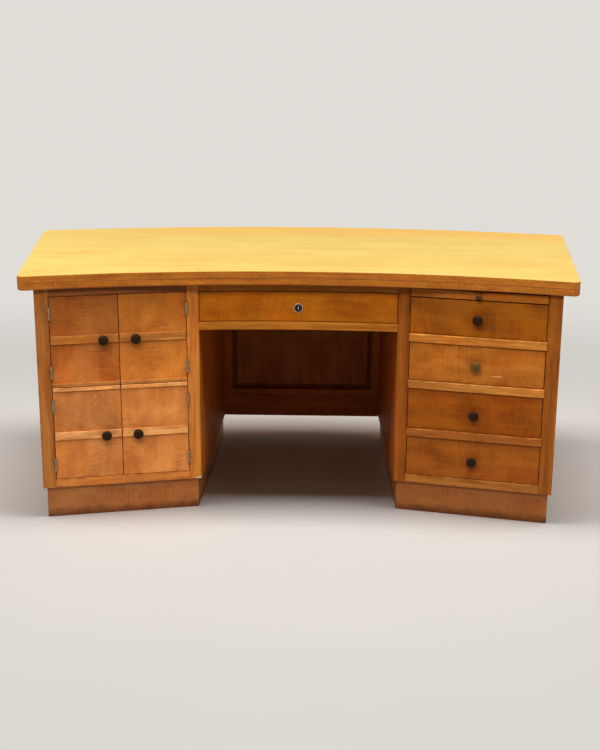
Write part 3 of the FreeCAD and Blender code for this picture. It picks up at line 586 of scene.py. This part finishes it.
def honey_top():
    """The top's veneer, bright and yellow above, with its lipping round the edge."""
    f = Finish("honey_top")
    grain = f.attribute("grain")
    x, y, z = f.axes(f.place())
    facing = f.axes(f.node("ShaderNodeNewGeometry", output="Normal"))[2]
    upper = CAD_BOX[1][2]
    flat = facing.rise(0.5, 0.95) * z.rise(upper - FACE_DEPTH[0], upper - FACE_DEPTH[1])
    streak = f.figure(grain, *TOP_STREAK, 4.0, 0.6)
    fine = f.figure(grain, *TOP_FINE, 3.0, 0.6)
    cloud = f.figure(grain, *TOP_CLOUD, 3.0, 0.55)
    fleck = f.figure(grain, *TOP_FLECK, 1.0)
    face = honey_face(f, grain, x, y, streak, fine, cloud, fleck)
    colour = f.blend(flat, honey_lip(f, grain, x, z, cloud), face)
    rough = 0.46 + 0.08 * cloud + 0.05 * fine
    normal = f.bump(0.5 * fine + 0.5 * fleck, RELIEF, 0.25)
    return f.surface(base_color=colour, roughness=rough, normal=normal, coat_weight=0.05, coat_roughness=0.35,
                     specular_ior_level=0.2)


def turned_knob(name, colour, rubbed, metallic, roughness):
    """A turned knob's finish, rubbed lighter where fingers hold it."""
    f = Finish(name)
    smear = f.figure(f.place(), *SMEAR, 3.0, 0.6)
    hold = f.attribute("rim", "Fac")
    base = f.blend(hold * smear.rise(-0.3, 0.5) * 0.6, linear(colour), linear(rubbed))
    rough = roughness + 0.15 * smear
    return f.surface(base_color=base, roughness=rough, metallic=metallic, coat_weight=0.02,
                     coat_roughness=0.25, specular_ior_level=0.08)


def worn_metal(name, colour, tarnish, roughness):
    """Plain metal with fine scratches and darker tarnish in patches."""
    f = Finish(name)
    patch = f.figure(f.place(), *TARNISH, 3.0, 0.6)
    scratch = f.figure(f.place(), *METAL_SCRATCH, 1.0)
    base = f.blend(patch.rise(-0.1, 0.5) * 0.6, linear(colour), linear(tarnish))
    rough = roughness + 0.12 * patch + 0.1 * scratch
    return f.surface(base_color=base, roughness=rough, metallic=1.0)


def fixing_metal(name, colour, slot_colour, metallic, roughness):
    """The heads of screws and pins, with a dark slot."""
    f = Finish(name)
    soil = f.figure(f.place(), *HEAD_SOIL, 2.0, 0.6)
    base = f.blend(soil.rise(0.0, 0.6) * 0.5, linear(colour), linear(slot_colour))
    base = f.blend(f.attribute("slot", "Fac"), base, linear(slot_colour))
    return f.surface(base_color=base, roughness=roughness + 0.1 * soil, metallic=metallic)


def lock_face(axis):
    """A thin nickel ring round a blackened face, centred on the lock's axis."""
    f = Finish("lock_nickel_ring")
    x, y, z = f.axes(f.place())
    ring = 1 - spot(x, z, axis.x, axis.z, LOCK_FACE_R, 0.05)
    tarnish = f.figure(f.place(), *RING_TARNISH, 3.0, 0.6)
    nickel = f.blend(tarnish.rise(0.0, 0.5) * 0.5, linear(LOCK_NICKEL[0]), linear(LOCK_NICKEL[1]))
    base = f.blend(ring, linear(LOCK_BLACK), nickel)
    return f.surface(base_color=base, roughness=0.34 + 0.1 * tarnish, metallic=0.2 + 0.75 * ring)


FRAME = {"blotch": 0.25, "band": 0.6, "line": 0.6, "pore": 0.3, "wear": 0.5, "gloss": 0.1}
DRAWER = {
    "blotch": 0.7, "band": 0.2, "line": 0.28, "ripple": 0.3, "pitch": 0.010, "fleck": 0.18, "handled": 0.3,
    "gloss": 0.1,
}
WOODS = {
    "panel_veneer": wood("figured_veneer", blotch=0.65, band=0.15, line=0.12, ripple=0.3, pitch=0.009,
                         fleck=0.3, gloss=0.12),
    "frame_wood": wood("straight_grain", chips_and_highlight=0.2, **FRAME),
    "inner_wood": wood("bare_wood", blotch=0.35, band=0.3, line=0.4, pore=0.2, wear=0.15, roughness=0.68,
                       gloss=0.1),
}
DULL_WOOD = {"blotch": 0.5, "band": 0.3, "line": 0.35, "ripple": 0.2, "roughness": 0.6, "gloss": 0.04}
DULL = wood("dull_veneer", wear=0.3, **DULL_WOOD)
PLAIN_DRAWER = wood("drawer_veneer", **DRAWER)
NODE_WOODS = {
    "plinths": wood("rippled_plinth", blotch=0.35, band=0.1, line=0.15, ripple=0.4, pitch=0.006,
                    fleck=0.25, soil=0.9),
    "left_stiles": wood("chipped_stile", chips_and_highlight=0.4, marks=stile_marks, **FRAME),
    # The rails' upper arrises carry chips and a strong painted highlight
    "drawer_rails": wood("rubbed_rail", chips_and_highlight=0.9, **FRAME),
    "drawer_2_front": wood("jointed_veneer", marks=second_drawer_marks, **DRAWER),
    "writing_slide": wood("calm_slide", blotch=0.3, band=0.25, line=0.3, wear=0.15, gloss=0.1),
}
for front in ("drawer_1_front", "drawer_3_front", "drawer_4_front", "centre_drawer_front"):
    NODE_WOODS[front] = PLAIN_DRAWER
for inside in ("left_inner_side", "right_inner_side"):
    NODE_WOODS[inside] = DULL
NODE_WOODS["modesty_panel"] = wood("dusty_panel", marks=panel_marks, **DULL_WOOD)
NODE_WOODS["modesty_frame"] = wood("rubbed_frame", wear=0.6, **DULL_WOOD)


# Boards

def closed_shells(mesh):
    """The node's solids as lists of faces. A solid ends where its last open edge closes."""
    open_edges = set()
    shells = []
    shell = []
    for face in mesh.polygons:
        corners = [tuple(round(c / WELD) for c in mesh.vertices[i].co) for i in face.vertices]
        shell.append(corners)
        for edge in zip(corners, corners[1:] + corners[:1]):
            if edge[::-1] in open_edges:
                open_edges.remove(edge[::-1])
            else:
                open_edges.add(edge)
        if not open_edges:
            shells.append(shell)
            shell = []
    return shells


def eased_solid(shell):
    """One solid as a clean mesh: flat faces joined and sharp arrises eased."""
    bm = bmesh.new()
    made = {}
    for corners in shell:
        for corner in corners:
            if corner not in made:
                made[corner] = bm.verts.new([c * WELD for c in corner])
        bm.faces.new([made[corner] for corner in corners])
    bmesh.ops.dissolve_limit(bm, angle_limit=FLAT_ANGLE, verts=bm.verts, edges=bm.edges)
    sharp = [e for e in bm.edges if len(e.link_faces) == 2 and e.calc_face_angle() > SHARP_ANGLE]
    bmesh.ops.bevel(bm, geom=sharp, offset=ARRIS, segments=2, profile=0.5, affect="EDGES", clamp_overlap=True)
    return bm


class Board:
    """One solid's own axes, longest side first in plan, with its middle and half sizes along them."""

    def __init__(self, points):
        turn = geometry.box_fit_2d([p.xy for p in points])
        self.to_local = Matrix.Rotation(turn, 3, "Z")
        size = self.span(points)[1]
        if size.x < size.y:
            self.to_local = Matrix.Rotation(math.pi / 2, 3, "Z") @ self.to_local
        self.middle, self.half = self.span(points)

    def span(self, points):
        turned = [self.to_local @ p for p in points]
        low = Vector([min(p[i] for p in turned) for i in range(3)])
        high = Vector([max(p[i] for p in turned) for i in range(3)])
        return (low + high) / 2, (high - low) / 2

    def local(self, point):
        return self.to_local @ point - self.middle

    def world(self, local):
        return self.to_local.transposed() @ (Vector(local) + self.middle)


def grain_axis(name, half):
    """The local axis that a board's grain follows."""
    if name in GRAIN_UP:
        return 2
    if name in GRAIN_ACROSS:
        return 0 if half.x < half.y else 1
    return max(range(3), key=lambda i: half[i])


def shaped(rough, name):
    """A plain object at the origin with the mesh that another object's modifiers make. That one goes."""
    bpy.context.view_layer.update()
    evaluated = rough.evaluated_get(bpy.context.evaluated_depsgraph_get())
    mesh = bpy.data.meshes.new_from_object(evaluated)
    bpy.data.objects.remove(rough)
    mesh.name = name
    obj = bpy.data.objects.new(name, mesh)
    bpy.context.scene.collection.objects.link(obj)
    return obj


def rough_object(name, points, faces, attributes):
    """An object with named attributes on its points."""
    mesh = bpy.data.meshes.new(name + "_rough")
    mesh.from_pydata(points, [], faces)
    for key, (kind, values) in attributes.items():
        layer = mesh.attributes.new(key, kind, "POINT")
        field = {"FLOAT": "value", "FLOAT_VECTOR": "vector", "FLOAT_COLOR": "color"}[kind]
        flat = values if kind == "FLOAT" else [number for value in values for number in value]
        layer.data.foreach_set(field, flat)
    obj = bpy.data.objects.new(name + "_rough", mesh)
    bpy.context.scene.collection.objects.link(obj)
    return obj


def smooth_piece(name, points, faces, attributes, material):
    """A piece with smooth faces and weighted normals."""
    rough = rough_object(name, points, faces, attributes)
    rough.data.materials.append(material)
    rough.data.polygons.foreach_set("use_smooth", [True] * len(faces))
    rough.data.set_sharp_from_angle(angle=SHADE_ANGLE)
    rough.modifiers.new("weigh", "WEIGHTED_NORMAL").keep_sharp = True
    return shaped(rough, name)


def held_at(name):
    """Where a hand holds the body that a board is on: the middle of its knob, or far away."""
    knobs = [node for node in record["behaviour"]["bodies"][body_of[name]] if node.endswith("_knob")]
    if not knobs:
        return NO_KNOB
    low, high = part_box(knobs[0])
    return (low + high) / 2


def tints_of(name, number):
    """The tints of a node's board at its foot and its head."""
    if name in OVERHANG_SHADED_TINTS:
        return OVERHANG_SHADED_TINTS[name]
    boards = BOARD_TINTS.get(name)
    tint = boards[number] if boards else TINTS.get(name, SLOT_TINTS[slot_of[name]])
    return tint, tint


def dressed(name):
    """A wooden node's piece: every solid cleaned, with its own grain and tint."""
    rng = random.Random(name + str(SEED))
    points, faces = [], []
    grains, locals_, halves, holds, tints = [], [], [], [], []
    held = held_at(name)
    for number, shell in enumerate(closed_shells(frame["nodes"][name].data)):
        bm = eased_solid(shell)
        board = Board([v.co for v in bm.verts])
        lead = grain_axis(name, board.half)
        order = [lead] + [i for i in range(3) if i != lead]
        away = Vector([rng.uniform(0, 20) for i in range(3)])
        tone = rng.uniform(0.95, 1.05)
        foot, head = [[c * tone for c in linear(tint)[:3]] + [1.0] for tint in tints_of(name, number)]
        hold = board.local(held)
        start = len(points)
        bm.verts.index_update()
        for v in bm.verts:
            local = board.local(v.co)
            points.append(v.co.copy())
            grains.append(Vector([local[i] for i in order]) + away)
            locals_.append(local)
            halves.append(board.half)
            holds.append(hold)
            # Tints run from foot to head; on the upper doors the darker head is painted shade from the top's
            # overhang
            share = (local.z + board.half.z) / (2 * board.half.z)
            tints.append([low + (high - low) * share for low, high in zip(foot, head)])
        faces += [[start + v.index for v in f.verts] for f in bm.faces]
        bm.free()
    attributes = {
        "grain": ("FLOAT_VECTOR", grains),
        "local": ("FLOAT_VECTOR", locals_),
        "half": ("FLOAT_VECTOR", halves),
        "hold": ("FLOAT_VECTOR", holds),
        "tint": ("FLOAT_COLOR", tints),
    }
    material = TOP if slot_of[name] == "top_veneer" else NODE_WOODS.get(name, WOODS.get(slot_of[name]))
    piece = smooth_piece(name + "_wood", points, faces, attributes, material)
    settle(piece, name)


def settle(piece, *nodes):
    """A piece that stands for CAD nodes takes their body, and the nodes are hidden."""
    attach(piece, body_of[nodes[0]])
    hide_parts(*nodes)


TOP = honey_top()
for node_name in sorted(slot_of):
    if slot_of[node_name] in SLOT_TINTS:
        dressed(node_name)


# Directions out of the pedestals' fronts, from the two upper hinges

outer_pin = Vector(joint_at["upper_outer_hinge"]["pos_m"])
inner_pin = Vector(joint_at["upper_inner_hinge"]["pos_m"])
LEFT_ALONG = (inner_pin - outer_pin).to_2d().to_3d().normalized()
LEFT_OUT = Vector((LEFT_ALONG.y, -LEFT_ALONG.x, 0))
RIGHT_OUT = Vector((-LEFT_OUT.x, LEFT_OUT.y, 0))

# Turned knobs: shares of the radius and of the length, from the foot to the crown's middle
KNOB_PROFILE = [
    (0.0, 0.0), (0.50, 0.0), (0.505, 0.05), (0.455, 0.10), (0.425, 0.20), (0.425, 0.30), (0.46, 0.39),
    (0.56, 0.46), (0.74, 0.53), (0.90, 0.60), (0.975, 0.67), (0.995, 0.74), (0.97, 0.82), (0.90, 0.885),
    (0.82, 0.925), (0.66, 0.962), (0.62, 0.958), (0.585, 0.968), (0.40, 0.988), (0.20, 0.997), (0.0, 1.0),
]
KNOB_SIDES = 48
# The rim that fingers rub lies beyond these shares, and the crown's middle is rubbed less
RIM_SHARES = (0.6, 0.5)
CROWN_RUB_SHARE = 0.4


def knob(name, out):
    """A turned knob on the CAD knob's axis."""
    node = frame["nodes"][name]
    side = Vector((-out.y, out.x, 0))
    corners = [v.co for v in node.data.vertices]
    heights = [p.z for p in corners]
    sideways = [p.dot(side) for p in corners]
    depths = [p.dot(out) for p in corners]
    foot = out * min(depths) + side * (min(sideways) + max(sideways)) / 2
    foot.z = (min(heights) + max(heights)) / 2
    radius = (max(heights) - min(heights)) / 2
    length = max(depths) - min(depths)
    points, faces, rims = [], [], []
    for share, height in KNOB_PROFILE[1:-1]:
        for i in range(KNOB_SIDES):
            turn = 2 * math.pi * i / KNOB_SIDES
            around = side * math.cos(turn) + Vector((0, 0, 1)) * math.sin(turn)
            points.append(foot + out * height * length + around * share * radius)
            rims.append(1.0 if share > RIM_SHARES[0] and height > RIM_SHARES[1] else 0.0)
    rings = len(KNOB_PROFILE) - 2
    for ring in range(rings - 1):
        for i in range(KNOB_SIDES):
            j = (i + 1) % KNOB_SIDES
            a, b = ring * KNOB_SIDES, (ring + 1) * KNOB_SIDES
            faces.append([a + i, b + i, b + j, a + j])
    points += [foot, foot + out * length]
    rims += [0.0, CROWN_RUB_SHARE]
    last = (rings - 1) * KNOB_SIDES
    for i in range(KNOB_SIDES):
        j = (i + 1) % KNOB_SIDES
        faces.append([i, j, len(points) - 2])
        faces.append([last + j, last + i, len(points) - 1])
    faces = outward(points, faces)
    finish = SLIDE_KNOB if body_of[name] == "slide" else KNOBS[slot_of[name]]
    piece = smooth_piece(name + "_turned", points, faces, {"rim": ("FLOAT", rims)}, finish)
    settle(piece, name)


def outward(points, faces):
    """The faces of a closed shape, all turned outwards."""
    bm = bmesh.new()
    verts = [bm.verts.new(p) for p in points]
    for face in faces:
        bm.faces.new([verts[i] for i in face])
    bm.verts.index_update()
    bmesh.ops.recalc_face_normals(bm, faces=bm.faces)
    turned = [[v.index for v in f.verts] for f in bm.faces]
    bm.free()
    return turned


KNOBS = {
    "dark_knob": turned_knob("dark_knob_lacquer", *KNOB_DARK, 0.0, 0.5),
    "bronze_knob": turned_knob("olive_bronze", *KNOB_OLIVE, 0.3, 0.5),
}
SLIDE_KNOB = turned_knob("dark_bronze", *KNOB_BROWN, 0.3, 0.5)
for node_name in sorted(slot_of):
    if slot_of[node_name] in KNOBS:
        left = body_of[node_name].startswith(("upper", "lower"))
        knob(node_name, LEFT_OUT if left else RIGHT_OUT)


# Metal: hinges and lock keep their CAD shapes

lock_axis = Vector(joint_at["lock_turn"]["pos_m"])
METALS = {
    "hinge_steel": worn_metal("hinge_steel_worn", *HINGE_STEEL, 0.42),
    "lock_nickel": lock_face(lock_axis),
    "plug_black": worn_metal("plug_blackened", *PLUG_BLACK, 0.40),
    "bolt_brass": worn_metal("bolt_brass_worn", *BOLT_BRASS, 0.34),
}
for node_name, node in frame["nodes"].items():
    if slot_of[node_name] in METALS:
        node.data.materials.clear()
        node.data.materials.append(METALS[slot_of[node_name]])


def key_slit():
    """The bright edge of the wards, just inside the plug's key slot."""
    low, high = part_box("lock_plug")
    half_w, half_h = KEY_SLIT_SIZE
    corners = [(-half_w, -half_h), (half_w, -half_h), (half_w, half_h), (-half_w, half_h)]
    points = []
    for depth in KEY_SLIT_DEPTHS:
        points += [(lock_axis.x + x, low.y + depth, lock_axis.z + z) for x, z in corners]
    faces = [(3, 2, 1, 0), (4, 5, 6, 7)] + [(i, (i + 1) % 4, 4 + (i + 1) % 4, 4 + i) for i in range(4)]
    ward = worn_metal("key_slit_bright", *WARD_BRIGHT, 0.3)
    piece = smooth_piece("key_slit", points, outward(points, faces), {}, ward)
    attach(piece, body_of["lock_plug"])


key_slit()


# Fixings: screws in the hinges, and pins in the battens and the pedestals' backs

def heads_tree():
    """Geometry Nodes: a round head on every point, turned to the point's facing, slotted or plain."""
    tree = bpy.data.node_groups.new("fixing_heads", "GeometryNodeTree")
    inputs = (("Places", "Geometry"), ("Head Radius", "Float"), ("Head Rise", "Float"), ("Slotted", "Bool"),
              ("Seed", "Int"), ("Finish", "Material"))
    for name, kind in inputs:
        tree.interface.new_socket(name, in_out="INPUT", socket_type="NodeSocket" + kind)
    tree.interface.new_socket("Heads", in_out="OUTPUT", socket_type="NodeSocketGeometry")
    g = Nodes(tree)
    given = g.node("NodeGroupInput")
    radius, rise = given.output("Head Radius"), given.output("Head Rise")
    sockets = {"Vertices": HEAD_SIDES, "Radius": radius, "Depth": rise * 2}
    head = g.node("GeometryNodeMeshCylinder", None, sockets)
    long, wide, deep = SLOT_SHARES
    sockets = {"X": radius * long, "Y": radius * wide, "Z": rise * deep}
    bar = g.node("GeometryNodeMeshCube", None, {"Size": g.node("ShaderNodeCombineXYZ", None, sockets)})
    slot = g.node("GeometryNodeStoreNamedAttribute", {"data_type": "FLOAT", "domain": "POINT"},
                  {"Geometry": bar, "Name": "slot", "Value": 1.0})
    slotted = g.node("GeometryNodeJoinGeometry", None, {"Geometry": [head, slot]})
    chosen = g.node("GeometryNodeSwitch", {"input_type": "GEOMETRY"},
                    {"Switch": given.output("Slotted"), "False": head, "True": slotted})
    facing = g.node("GeometryNodeInputNamedAttribute", {"data_type": "FLOAT_VECTOR"}, {"Name": "facing"})
    turned = g.node("FunctionNodeAlignRotationToVector", {"axis": "Z"}, {"Vector": facing})
    angle = g.node("FunctionNodeRandomValue", {"data_type": "FLOAT"},
                   {2: 0.0, 3: math.pi, "Seed": given.output("Seed")}, 1)
    spin = g.node("FunctionNodeAxisAngleToRotation", None, {"Axis": (0.0, 0.0, 1.0), "Angle": angle})
    rotation = g.node("FunctionNodeRotateRotation", {"rotation_space": "LOCAL"},
                      {"Rotation": turned, "Rotate By": spin})
    placed = g.node("GeometryNodeInstanceOnPoints", None,
                    {"Points": given, "Instance": chosen, "Rotation": rotation})
    real = g.node("GeometryNodeRealizeInstances", None, {"Geometry": placed})
    made = g.node("GeometryNodeSetMaterial", None, {"Geometry": real, "Material": given.output("Finish")})
    g.node("NodeGroupOutput", None, {"Heads": made})
    return tree


HEADS = heads_tree()
SCREW = fixing_metal("screw_steel", *SCREW_STEEL, 0.9, 0.42)
PIN = fixing_metal("pin_iron", *PIN_IRON, 0.3, 0.6)


def fixings(name, body, places, radius, slotted, finish):
    """Heads at the given places, each a point and its facing, in one piece that rides a body."""
    facings = [facing for point, facing in places]
    points = [point for point, facing in places]
    rough = rough_object(name, points, [], {"facing": ("FLOAT_VECTOR", facings)})
    heads = rough.modifiers.new("heads", "NODES")
    heads.node_group = HEADS
    values = {"Head Radius": radius, "Head Rise": HEAD_RISE, "Slotted": slotted, "Seed": SEED,
              "Finish": finish}
    for item in HEADS.interface.items_tree:
        if item.in_out == "INPUT" and item.name in values:
            heads[item.identifier] = values[item.name]
    piece = shaped(rough, name)
    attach(piece, body)


def leaf_screws(name):
    """Three places on the face of each hinge leaf in a node that looks at the other leaf."""
    places = []
    for shell in closed_shells(frame["nodes"][name].data):
        points = [Vector(corner) * WELD for corners in shell for corner in corners]
        deep = min(p.dot(LEFT_OUT) for p in points)
        plate = [p for p in points if p.dot(LEFT_OUT) < deep + WELD * 10]
        sides = [p.dot(LEFT_ALONG) for p in plate]
        pin_at = min((p.dot(LEFT_ALONG) for p in (outer_pin, inner_pin)), key=lambda a: abs(a - sides[0]))
        face = min(sides, key=lambda a: abs(a - pin_at))
        facing = LEFT_ALONG * (1 if pin_at > face else -1)
        low = min(p.z for p in plate)
        height = max(p.z for p in plate) - low
        for depth, share in LEAF_SCREWS:
            point = LEFT_ALONG * face + LEFT_OUT * (deep + depth)
            point.z = low + share * height
            places.append((point, facing))
    return places


def batten_pins(name):
    """A place near each end of every batten in a node, on its front."""
    places = []
    for shell in closed_shells(frame["nodes"][name].data):
        board = Board([Vector(corner) * WELD for corners in shell for corner in corners])
        for end in (-1, 1):
            point = board.world((end * (board.half.x - BATTEN_PIN_INSET), 0, 0)) + LEFT_OUT * board.half.y
            places.append((point, LEFT_OUT))
    return places


def back_pins(name):
    """Places round a pedestal's back board, on its outer face."""
    board = Board([v.co for v in frame["nodes"][name].data.vertices])
    facing = board.world((0, 1, 0)) - board.world((0, 0, 0))
    if facing.y < 0:
        facing = -facing
    side = board.to_local @ facing
    half_w, half_h = board.half.x - BACK_PIN_INSET, board.half.z - BACK_PIN_INSET
    across = round(2 * half_w / BACK_PIN_SPACING)
    up = round(2 * half_h / BACK_PIN_SPACING)
    spots = [(half_w * (2 * i / across - 1), end * half_h) for i in range(across + 1) for end in (-1, 1)]
    spots += [(end * half_w, half_h * (2 * i / up - 1)) for i in range(1, up) for end in (-1, 1)]
    return [(board.world((x, side.y * board.half.y, z)), facing) for x, z in spots]


for door in ("upper_outer", "upper_inner", "lower_outer", "lower_inner"):
    fixings(door + "_screws", door, leaf_screws(door + "_hinge_leaves"), SCREW_R, True, SCREW)
    fixings(door + "_batten_pins", door, batten_pins(door + "_battens"), PIN_R, False, PIN)
fixings("frame_leaf_screws", "frame", leaf_screws("hinge_frame_leaves"), SCREW_R, True, SCREW)
fixings("back_board_pins", "frame", back_pins("left_back") + back_pins("right_back"), BACK_PIN_R, False, PIN)


# Floor, light and camera

def seen_ray(nodes):
    """1 for what the camera sees, straight or in metal, and 0 for the light that falls on the desk."""
    ray = nodes.node("ShaderNodeLightPath", output="Is Camera Ray")
    return ray.most(ray.output("Is Glossy Ray")).most(ray.output("Is Transmission Ray"))


def pale_floor():
    """Lit floor near the desk, and plain pale further off."""
    f = Finish("pale_floor")
    x, y, z = f.axes(f.place())
    cloud = f.figure(f.place(), *FLOOR_CLOUD, 4.0, 0.55)
    pale = linear(FLOOR_PALE)
    colour = f.blend(0.5 + 0.5 * cloud, f.shade(1.0, pale, FLOOR_SHADE), pale)
    near = f.node("ShaderNodeBsdfDiffuse", None, {"Color": colour})
    far = f.node("ShaderNodeEmission", None, {"Color": pale, "Strength": seen_ray(f)})
    beside, before = (abs(x) - CAD_BOX[1][0]).most(0.0), (abs(y) - CAD_BOX[1][1]).most(0.0)
    away = (beside * beside + before * before).root().rise(*FLOOR_FADE)
    f.node_out(f.node("ShaderNodeMixShader", None, {0: away, 1: near, 2: far}))
    return f.material


def floor():
    reach = FLOOR_REACH
    corners = [(-reach, -reach, 0), (reach, -reach, 0), (reach, reach, 0), (-reach, reach, 0)]
    mesh = bpy.data.meshes.new("floor")
    mesh.from_pydata(corners, [], [(0, 1, 2, 3)])
    mesh.materials.append(pale_floor())
    obj = bpy.data.objects.new("floor", mesh)
    bpy.context.scene.collection.objects.link(obj)


def lamp(name, lit, at, aim, size, power, glossy=True):
    """A soft rectangular lamp, flagged off from all but what it is to light, and seen in gloss or not."""
    light = bpy.data.lights.new(name, "AREA")
    light.shape = "RECTANGLE"
    light.size, light.size_y = size
    light.energy = power
    obj = bpy.data.objects.new(name, light)
    obj.location = at
    obj.rotation_euler = (Vector(aim) - Vector(at)).to_track_quat("-Z", "Y").to_euler()
    bpy.context.scene.collection.objects.link(obj)
    obj.visible_glossy = glossy
    obj.light_linking.receiver_collection = lit


def gathered(name, starts, wanted=True):
    """The objects whose names have one of the given starts, or have none of them."""
    lit = bpy.data.collections.new(name)
    for obj in bpy.context.scene.objects:
        if obj.type == "MESH" and obj.name.startswith(starts) == wanted:
            lit.objects.link(obj)
    return lit


def flagged(name, hidden):
    """The pieces that a lamp lights, without those that flags keep it from."""
    return gathered(name, hidden + ("floor",), wanted=False)


def sky():
    world = bpy.data.worlds.new("pale_room")
    world.use_nodes = True
    n = Nodes(world.node_tree)
    lit = n.node("ShaderNodeBackground", None, {"Color": linear(SKY_WHITE), "Strength": SKY_LEVEL})
    seen = n.node("ShaderNodeBackground", None, {"Color": linear(FLOOR_PALE)})
    mixed = n.node("ShaderNodeMixShader", None, {0: seen_ray(n), 1: lit, 2: seen})
    n.node("ShaderNodeOutputWorld", None, {"Surface": mixed})
    bpy.context.scene.world = world


def camera():
    """The photograph's camera: its axes from pitch, yaw and roll."""
    cp, sp = math.cos(CAMERA_PITCH), math.sin(CAMERA_PITCH)
    cy, sy = math.cos(CAMERA_YAW), math.sin(CAMERA_YAW)
    ahead = Vector((sy * cp, cy * cp, -sp))
    right = Vector((cy, -sy, 0))
    down = ahead.cross(right)
    tilted = math.cos(CAMERA_ROLL) * right + math.sin(CAMERA_ROLL) * down
    up = math.sin(CAMERA_ROLL) * right - math.cos(CAMERA_ROLL) * down
    data = bpy.data.cameras.new("photograph")
    data.lens = CAMERA_LENS
    data.sensor_width = CAMERA_SENSOR
    obj = bpy.data.objects.new("photograph", data)
    turn = Matrix((tilted, up, -ahead)).transposed().to_4x4()
    obj.matrix_world = Matrix.Translation(CAMERA_AT) @ turn
    bpy.context.scene.collection.objects.link(obj)
    bpy.context.scene.camera = obj


floor()
sky()
desk = flagged("desk", KNEEHOLE)
all_but_top = flagged("all_but_top", ("top_",))
all_sides = flagged("all_sides", ())
top_only = gathered("top_only", ("top_",))
lamp("over_floor", gathered("floor_only", ("floor",)), **OVER_FLOOR)
lamp("ceiling", all_but_top, **CEILING)
lamp("left_side", all_sides, **LEFT_SIDE)
lamp("right_side", all_sides, **RIGHT_SIDE)
lamp("behind", all_but_top, **BEHIND)
lamp("back_edge", top_only, **BACK_EDGE, glossy=False)
lamp("above_top", top_only, **ABOVE_TOP)
lamp("key", desk, **KEY)
lamp("fill", desk, **FILL, glossy=False)
camera()
bpy.context.scene.view_settings.view_transform = "Standard"
